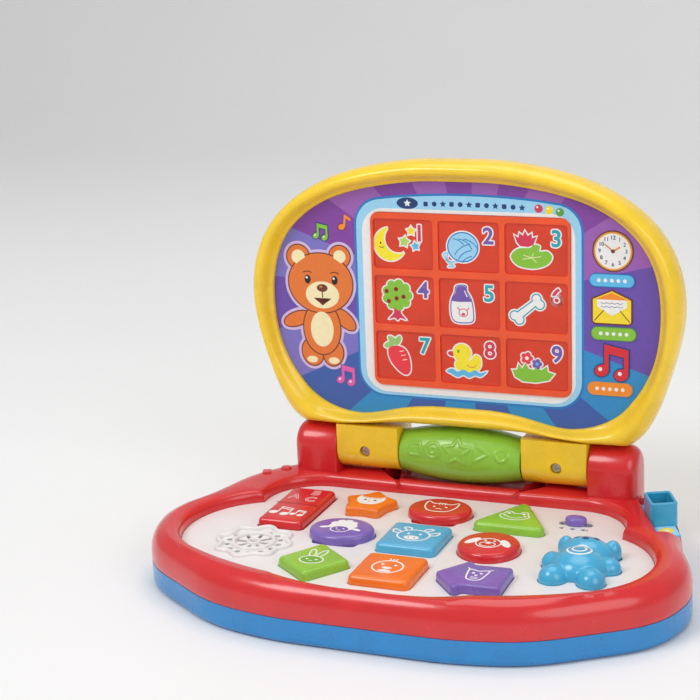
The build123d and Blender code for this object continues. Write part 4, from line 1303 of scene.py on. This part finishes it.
def tree(p, x, y):
    trunk = smooth([(-2.4, 0), (2.4, 0), (2.0, -7.0), (5.2, -11.0), (1.6, -10.2), (0, -11.6), (-2, -10.2),
                    (-5.4, -11.0), (-2.2, -7.0)], 4)
    crown = flower(x - 2, y + 3.2, 9.2, 9, 0.18, n=90)
    p.sticker([(moved(trunk, x - 2, y), "crimson"), (crown, "green")], 0.75)
    for px, py in ((-6.4, 5.2), (-0.6, 6.6), (3.8, 2.4), (-5.2, -0.6), (-0.4, 1.2)):
        p.fill(ellipse(x - 2 + px, y + py, 1.3, n=16), "ember")


def bottle(p, x, y):
    body = smooth([(-3.2, 10.4), (2.4, 10.8), (3.0, 7.6), (5.6, 3.0), (6.8, -4), (6.4, -9.6), (1.6, -11),
                   (-4.6, -10.4), (-6.8, -6), (-6.6, 1.4), (-4.4, 6.6)], 5)
    top = smooth([(-2.8, 9.8), (2.0, 10.2), (2.6, 7.4), (4.8, 3.2), (5.2, 1.6), (-5.9, 1.6), (-3.8, 6.2)], 5)
    p.fill(grow(moved(body, x - 2, y), 0.9))
    p.fill(grow(moved(body, x - 2, y), 0.15), "violet")
    p.fill(grow(moved(body, x - 2, y), -0.5))
    p.fill(moved(top, x - 2, y), "violet")
    p.line(moved([(1.6, 7.6), (3.0, 4.4)], x - 2, y), 0.6)
    p.line(ellipse(x - 1.4, y - 5.0, 2.6, 2.2), 0.45, "crimson", closed=True)
    p.fill(ellipse(x - 1.4, y - 5.9, 1.2, 0.8, n=14), "crimson")
    for side in (-1, 1):
        p.line([(x - 1.4 + side * 2.2, y - 3.4), (x - 1.4 + side * 3.4, y - 2.2)], 0.5, "crimson")


def bone(p, x, y):
    knobs = [(-9, -4.8), (-5.6, -7.6), (6.8, 7.8), (9.2, 3.8)]
    bar = [(-8.6, -3.2), (-5.2, -7.6), (8.4, 4.2), (5.6, 7.6)]
    shapes = [ellipse(x - 3 + 0.8 * a, y - 1 + 0.8 * b, 2.7) for a, b in knobs]
    shapes.append(moved(bar, x - 3, y - 1, 0.8))
    for amount, colour in ((1.1, "white"), (0.3, "teal"), (-0.4, "white")):
        for points in shapes:
            p.fill(grow(points, amount), colour)


def carrot(p, x, y):
    root = smooth([(-6.4, 3.6), (-1.6, 6.0), (3.8, 4.4), (6.6, -1.0), (7.0, -8.0), (4.6, -11.0), (0.4, -9.4),
                   (-5.0, -3.4)], 5)
    leaves = [ellipse(x - 7.6, y + 6.4, 3.4, 1.7, 20), ellipse(x - 5.6, y + 9.0, 3.4, 1.8, -40),
              ellipse(x - 2.4, y + 9.0, 3.2, 1.7, 60)]
    p.sticker([(points, "leaf_light") for points in leaves] + [(moved(root, x - 2, y), "scarlet")], 0.75)
    for px, py in ((0.6, 2.6), (1.6, 0.2), (2.4, -2.4)):
        p.line([(x + px - 2, y + py), (x + px + 0.4, y + py + 0.6)], 0.45, "cream")


def duck(p, x, y):
    body = moved(smooth([(-6, -0.6), (-2, -0.2), (2.6, 0.4), (5.2, 3.4), (8.2, 2.0), (8.4, -3.0),
                         (5.0, -6.4), (-3.4, -6.6), (-6.8, -4.0)], 5), x, y)
    wave = moved(smooth([(-12, -7.0), (-8.6, -5.4), (-5.4, -7.0), (-2, -5.4), (1.4, -7.0), (5, -5.4),
                         (8, -7.0), (12, -5.8), (8.4, -9.2), (5.0, -8.6), (1.4, -10.2), (-2, -8.8),
                         (-5.4, -10.2), (-8.6, -8.8)], 4), x, y)
    head = ellipse(x - 2.6, y + 4.2, 5.4, 5.2)
    bill = ellipse(x - 8.8, y + 3.4, 2.3, 1.4, -10)
    p.sticker([(body, "lemon"), (head, "lemon"), (bill, "crimson"), (wave, "sky")], 0.75)
    p.fill(body, "lemon")
    p.fill(head, "lemon")
    p.fill(wave, "sky")
    p.fill(ellipse(x - 4.8, y + 5.0, 0.7, 1.0, n=14), "leaf")
    p.line(ellipse(x + 3.0, y - 1.6, 3.0, 2.4, start=3.6, stop=6.0, n=10), 0.45, "tan")


def meadow(p, x, y):
    grass = [
        (-12, -3.6), (-9.2, -3.4), (-8.4, 0.2), (-6.2, -2.6), (-4.2, 0.8), (-2.4, -2.4), (0.4, -3.0),
        (2.6, -0.6), (4.6, -3.0), (8.2, -0.4), (8.6, -3.6), (12.4, -4.6), (9.4, -8.4), (2, -10.2),
        (-6, -10), (-10.4, -7.6),
    ]
    p.sticker([(moved(grass, x, y), "green"), (flower(x - 3.4, y + 3.6, 3.6, 5, 0.35), "scarlet"),
               (flower(x + 2.4, y + 0.6, 3.0, 5, 0.35), "violet")], 0.75)
    p.fill(ellipse(x - 3.4, y + 3.6, 1.1, n=16))
    p.fill(ellipse(x + 2.4, y + 0.6, 0.9, n=16), "sky")


pictures = [
    (moon, "1", "crimson"), (yarn, "2", "violet"), (lily, "3", "teal"),
    (tree, "4", "violet"), (bottle, "5", "teal"), (bone, "6", "crimson"),
    (carrot, "7", "teal"), (duck, "8", "crimson"), (meadow, "9", "violet"),
]
for i, (draw, digit, colour) in enumerate(pictures):
    middle_x = screen_mid[0] + (i % 3 - 1) * cell_pitch[0]
    middle_y = screen_mid[1] + (1 - i // 3) * cell_pitch[1]
    sheet = Print("cell_picture_" + digit, lid_plane(panel_top), "lid", "screen_lens", step=0.01, base=0.06)
    draw(sheet, middle_x - 2.6, middle_y - 0.4)
    digit_x = middle_x + (9.8 if digit == "1" else 11.4)
    for k in range(10):
        t = tau * k / 10
        sheet.text(digit, digit_x + 0.75 * cos(t), middle_y + 6.0 + 0.75 * sin(t), 13.0, "white", 0.3)
    sheet.text(digit, digit_x, middle_y + 6.0, 13.0, colour, 0.3)
    sheet.done()

# Pictures on the key caps
line_w = 0.75


def eyes(p, x, y, apart, r=0.75, colour="white"):
    for side in (-1, 1):
        p.fill(ellipse(x + side * apart, y, r, n=14), colour)


def owl_face(p):
    p.fill(smooth([(-8, 6.6), (-4, 4.6), (4, 4.6), (8, 6.6), (8.6, 0), (5, -5.4), (0, -6.6), (-5, -5.4),
                   (-8.6, 0)], 5))
    eyes(p, 0, 0.4, 3.2, 1.0, "brown")
    p.fill([(-0.9, -1.6), (0.9, -1.6), (0, -3.2)], "orange")
    p.line(smooth([(-7.4, 5.6), (-4, 3.6), (0, 3.0), (4, 3.6), (7.4, 5.6)], 4, False), 0.5, "tan")


def cat_face(p):
    outline = smooth([(-8.4, 7.0), (-4.8, 4.6), (0, 5.2), (4.8, 4.6), (8.4, 7.0), (8.6, 0.6),
                      (5.6, -5.0), (0, -6.4), (-5.6, -5.0), (-8.6, 0.6)], 6)
    p.line(outline, line_w, closed=True)
    eyes(p, 0, 0.2, 3.4)
    p.line([(-1.4, -2.8), (0, -2.0), (1.4, -2.8)], 0.6)
    for px in (-1.6, 0, 1.6):
        p.line([(px, 5.4), (px, 3.4)], 0.55)


def frog_face(p):
    outline = smooth([(-8.8, -1.0), (-7.0, 2.6), (-6.2, 5.6), (-3.4, 5.8), (-1.8, 3.8), (1.8, 3.8),
                      (3.4, 5.8), (6.2, 5.6), (7.0, 2.6), (8.8, -1.0), (5.6, -5.0), (0, -6.2),
                      (-5.6, -5.0)], 6)
    p.line(outline, line_w, closed=True)
    eyes(p, 0, 3.2, 4.4, 1.1)
    p.line(ellipse(0, -0.4, 4.8, 3.0, start=pi + 0.3, stop=tau - 0.3, n=14), 0.6)
    eyes(p, 0, -0.4, 6.0, 0.9)


def sheep_face(p):
    p.fill(flower(0, 2.2, 7.8, 9, 0.16, n=90))
    p.fill(ellipse(-8.6, -1.8, 3.0, 1.2, 20))
    p.fill(ellipse(8.6, -1.8, 3.0, 1.2, -20))
    p.fill(ellipse(0, -3.0, 5.0, 3.8), "violet")
    p.line(ellipse(0, -3.0, 5.0, 3.8), 0.6, closed=True)
    eyes(p, 0, -2.4, 1.9, 0.6)
    p.line([(-1.0, -4.6), (1.0, -4.6)], 0.5)


def cow_face(p):
    p.line(ellipse(0, -0.4, 7.4, 6.2), line_w, closed=True)
    horn = [(4.6, 4.6), (7.0, 7.6), (4.0, 8.0), (3.0, 5.4)]
    ear = [(6.6, 2.6), (10.6, 5.0), (10.4, 1.8), (7.4, 0.8)]
    for side in (-1, 1):
        for points in (horn, ear):
            p.line(smooth([(side * px, py) for px, py in points], 5, False), line_w)
    p.fill(ellipse(0, -3.2, 3.6, 2.2))
    eyes(p, 0, -3.2, 1.4, 0.5, "blue")
    eyes(p, 0, 1.2, 2.8)


def dog_face(p):
    for side in (-1, 1):
        p.fill(ellipse(side * 8.6, 0.6, 2.2, 5.0, side * 34))
    p.line(ellipse(0, -0.6, 6.4, 5.8), line_w, closed=True)
    p.line(ellipse(0, -2.2, 4.0, 2.8), 0.6, closed=True)
    p.fill(ellipse(0, -0.8, 1.4, 0.9, n=16))
    eyes(p, 0, 2.4, 2.4)


def rabbit_face(p):
    for side in (-1, 1):
        p.line(ellipse(side * 2.6, 6.8, 1.7, 5.0, -side * 14), line_w, closed=True)
    p.fill(ellipse(0, -1.6, 6.4, 4.8), "green_dark")
    p.line(ellipse(0, -1.6, 6.4, 4.8), line_w, closed=True)
    eyes(p, 0, -1.2, 2.6)
    p.line([(-0.9, -3.4), (0, -2.8), (0.9, -3.4)], 0.5)


def chick_face(p):
    p.line(ellipse(0, -0.6, 6.8, 6.4), line_w, closed=True)
    for px in (-1.6, 0, 1.6):
        p.line([(px * 0.6, 5.6), (px, 7.8)], 0.6)
    p.fill(smooth([(-2.4, -1.6), (0, -0.8), (2.4, -1.6), (0, -3.2)], 5))
    eyes(p, 0, 1.4, 3.0)
    p.fill(ellipse(0, -5.0, 3.0, 1.1, n=20))


def bird_face(p):
    outline = [(-4.6, 5.6), (0, 4.4), (4.6, 5.6), (4.4, 0), (3.2, -4.8), (0, -6.2), (-3.2, -4.8), (-4.4, 0)]
    p.line(smooth(outline, 6), line_w, closed=True)
    for side in (-1, 1):
        p.line([(side * 4.4, 5.2), (side * 6.0, 7.0)], 0.6)
    eyes(p, 0, 1.8, 1.9, 0.8)
    p.fill([(-1.0, 0.0), (1.0, 0.0), (0, -1.8)])
    for py in (-2.8, -4.2):
        p.line([(-1.6, py), (1.6, py)], 0.5)


# drawing, scale and shift from the cap's middle
key_art = {
    "star_key": (owl_face, 0.92, 0, -0.5), "cat_key": (cat_face, 1.05, 0, 0),
    "triangle_key": (frog_face, 0.95, 0, -2.5), "sheep_key": (sheep_face, 1.05, 0, 0),
    "cow_key": (cow_face, 1.2, 0, -0.6), "dog_key": (dog_face, 1.05, 0, 0),
    "rhombus_key": (rabbit_face, 1.0, 0, -1.5), "chick_key": (chick_face, 1.2, 0, 0),
    "arrow_key": (bird_face, 1.1, 2.5, 0),
}
for name, (draw, size, dx, dy) in key_art.items():
    x, y = key_mid[name]
    plane = deck_plane(x + dx, y + dy, key_top_z) @ Matrix.Diagonal((size, size, 1, 1))
    sheet = Print(name + "_print", plane, name, key_looks[name][0])
    draw(sheet)
    sheet.done()

x, y = key_mid["rocker_key"]
rocker = Print("rocker_key_print", deck_plane(x, y, key_top_z), "rocker_key", "red_key", base=0.05)
# painted shade: this dark red line across the flat cap stands for the shade along the rocker's ridge, where its
# two slopes meet
rocker.line([(-12.6, 0), (12.6, 0)], 0.9, "ember")
for letter, px, py in (("A", -6.0, 10.5), ("B", 4.0, 18.0), ("C", 4.6, 8.0)):
    rocker.text(letter, px, py, 9.0, "white", 0.28)
    rocker.text(letter, px, py, 9.0, "red", -0.02)
for px, py, k in ((-4.4, -11.5, 0.8), (6.2, -13.0, 0.55)):
    for points in (ellipse(-4.6, -4.4, 3.2, 2.6, 20), ellipse(4.2, -6.0, 3.2, 2.6, 20)):
        rocker.fill(moved(points, px, py, k))
    rocker.line(moved([(-1.7, -4.0), (-1.7, 6.2), (6.9, 4.4), (6.9, -5.6)], px, py, k), 0.7)
    rocker.line(moved([(-1.7, 3.6), (6.9, 1.8)], px, py, k), 0.7)
rocker.done()

# Marks on the deck: power slider, speaker relief
power_low, power_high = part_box("power_slider")
px = (power_low.x + power_high.x) / 2 / MM
py = ((power_low.y + power_high.y) / 2 - hinge.y) / MM
marks = Print("power_marks", deck_plane(px, py - 7.2, deck_z), "base", "white_deck")
for i, x in enumerate((-6.0, 0.0, 6.0)):
    horn = [(-1.4, -0.5), (-0.5, -0.5), (0.6, -1.3), (0.6, 1.3), (-0.5, 0.5), (-1.4, 0.5)]
    marks.fill(moved(horn, x, 0), "black")
    for k in range(i):
        marks.line(ellipse(x + 0.8, 0, 0.7 + 0.8 * k, start=-0.8, stop=0.8, n=6), 0.3, "black")
marks.done()

knob_bm = bmesh.new()
rings = []
for i in range(9):
    t = pi / 2 * i / 8
    r = 6.0 * cos(t) ** 0.6 if i < 8 else 0.6
    ring = []
    for k in range(48):
        a = tau * k / 48
        ring.append(above(px + r * cos(a), py + 0.72 * r * sin(a), deck_z + 0.3 + 4.6 * sin(t)))
    rings.append(ring)
loft(knob_bm, rings, cap_first=True, cap_last=True)
new_piece("power_knob", knob_bm, [purple], "power_slider", sharp=60)

spx, spy = -85.0, -109.0
bm = bmesh.new()


def raised_line(bm, points, width, low, high):
    """A rounded rib along a closed outline on the deck."""
    rings = []
    for offset, part in (
        (0.5, 0.0), (0.46, 0.55), (0.3, 0.9), (0.0, 1.0), (-0.3, 0.9), (-0.46, 0.55), (-0.5, 0.0),
    ):
        height = low + (high - low) * part
        rings.append([above(x, y, height) for x, y in grow(points, offset * width)])
    loft(bm, rings, close_profile=True)


raised_line(bm, ellipse(spx, spy, 11.2, n=72), 2.2, deck_z - 0.1, 27.8)
petals = []
for i in range(160):
    t = tau * i / 160
    k = 19.6 + 1.7 * cos(8 * t)
    petals.append((spx + k * cos(t), spy + k * sin(t)))
raised_line(bm, petals, 2.8, deck_z - 0.1, 27.9)
raised_line(bm, ellipse(spx, spy, 3.1, n=48), 1.6, deck_z - 0.1, 27.4)
new_piece("speaker_relief", bm, [white], "base", sharp=60)

# Pictures on the strip under the mode slider
strip = Print("mode_strip_print", track_plane @ Matrix.Translation((0, 0, 29.3)), "base", "printed_strip")
strip_step = 15.4
for y, ground_ink, shape, colour in (
    (strip_step, "pale", star(0, strip_step, 4.2, 0.5), "green"),
    (0.0, "cream", flower(0, 0, 4.2, 6, 0.3), "crimson"),
    (-strip_step, "pale", ellipse(0, -strip_step, 3.8), "yellow"),
):
    strip.fill(rounded(0, y, 10.6, 14.0, 1.2), ground_ink)
    strip.fill(shape, colour)
    strip.fill(ellipse(0, y, 1.3, n=16))
strip.done()

# Print on the badge at the back of the lid
badge = Print("badge_print", lid_back_plane(14.2) @ Matrix.Translation((0, 111, 0)), "lid", "badge_print")
badge.fill(ellipse(0, 0, 38.4, 26.4), "blue")
badge.fill(ellipse(0, 0, 37.2, 25.2), "pale")
tokens = ("crimson", "yellow", "leaf", "orange", "violet", "teal", "pink", "green")
for i in range(14):
    t = tau * (i + 0.5) / 14
    x, y = 29.0 * cos(t), 18.4 * sin(t)
    kind = i % 4
    if kind == 0:
        shape = ellipse(x, y, 3.0)
    elif kind == 1:
        shape = rounded(x, y, 5.4, 5.4, 1.0, 20 * i)
    elif kind == 2:
        shape = star(x, y, 3.8, 0.55, turn=90 + 10 * i)
    else:
        shape = grow([(x - 2.6, y - 2.2), (x + 2.6, y - 2.2), (x, y + 2.8)], 0.6)
    badge.sticker([(shape, tokens[i % 8])], 0.6)
badge.fill(ellipse(0, 0, 19.6, 10.6))
badge.fill(ellipse(0, 0, 18.6, 9.6), "navy")
badge.fill(star(0, 0.2, 5.6, 0.5))
badge.done()

# Closing lines
def plain_floor():
    """A plain pale floor that curves up behind the toy."""
    bm = bmesh.new()
    profile = [(-3.0, 0.0), (1.2, 0.0)]
    for i in range(1, 13):
        t = pi / 2 * i / 12
        profile.append((1.2 + 0.8 * sin(t), 0.8 * (1 - cos(t))))
    profile.append((2.0, 3.0))
    previous = None
    for y, z in profile:
        pair = (bm.verts.new((-4, y, z)), bm.verts.new((4, y, z)))
        if previous:
            bm.faces.new((previous[0], previous[1], pair[1], pair[0]))
        previous = pair
    floor = new_piece("floor", bm, [plastic("floor_paper", (0.86, 0.86, 0.86), rough=0.6, shade=0.01,
                                            grain=3.0, bump=0.01, coat=0.0)], None)
    floor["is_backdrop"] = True


plain_floor()


def area_light(name, at, aim, size, power):
    data = bpy.data.lights.new(name, "AREA")
    data.shape = "DISK"
    data.size = size
    data.energy = power
    light = bpy.data.objects.new(name, data)
    bpy.context.scene.collection.objects.link(light)
    light.location = at
    light.rotation_mode = "QUATERNION"
    light.rotation_quaternion = (Vector(aim) - Vector(at)).to_track_quat("-Z", "Y")


area_light("key", (-0.9, -1.1, 1.6), (0, 0, 0.08), 0.9, 15)
area_light("fill", (1.3, -0.9, 0.9), (0, 0, 0.08), 1.2, 7.5)
area_light("top", (0.0, 0.2, 1.7), (0, 0, 0.05), 1.4, 10)
bpy.context.scene.view_settings.view_transform = "Standard"
world = bpy.data.worlds.new("world")
bpy.context.scene.world = world
world.use_nodes = True
world.node_tree.nodes["Background"].inputs["Color"].default_value = (1.0, 1.0, 1.0, 1)
world.node_tree.nodes["Background"].inputs["Strength"].default_value = 0.45

low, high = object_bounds()
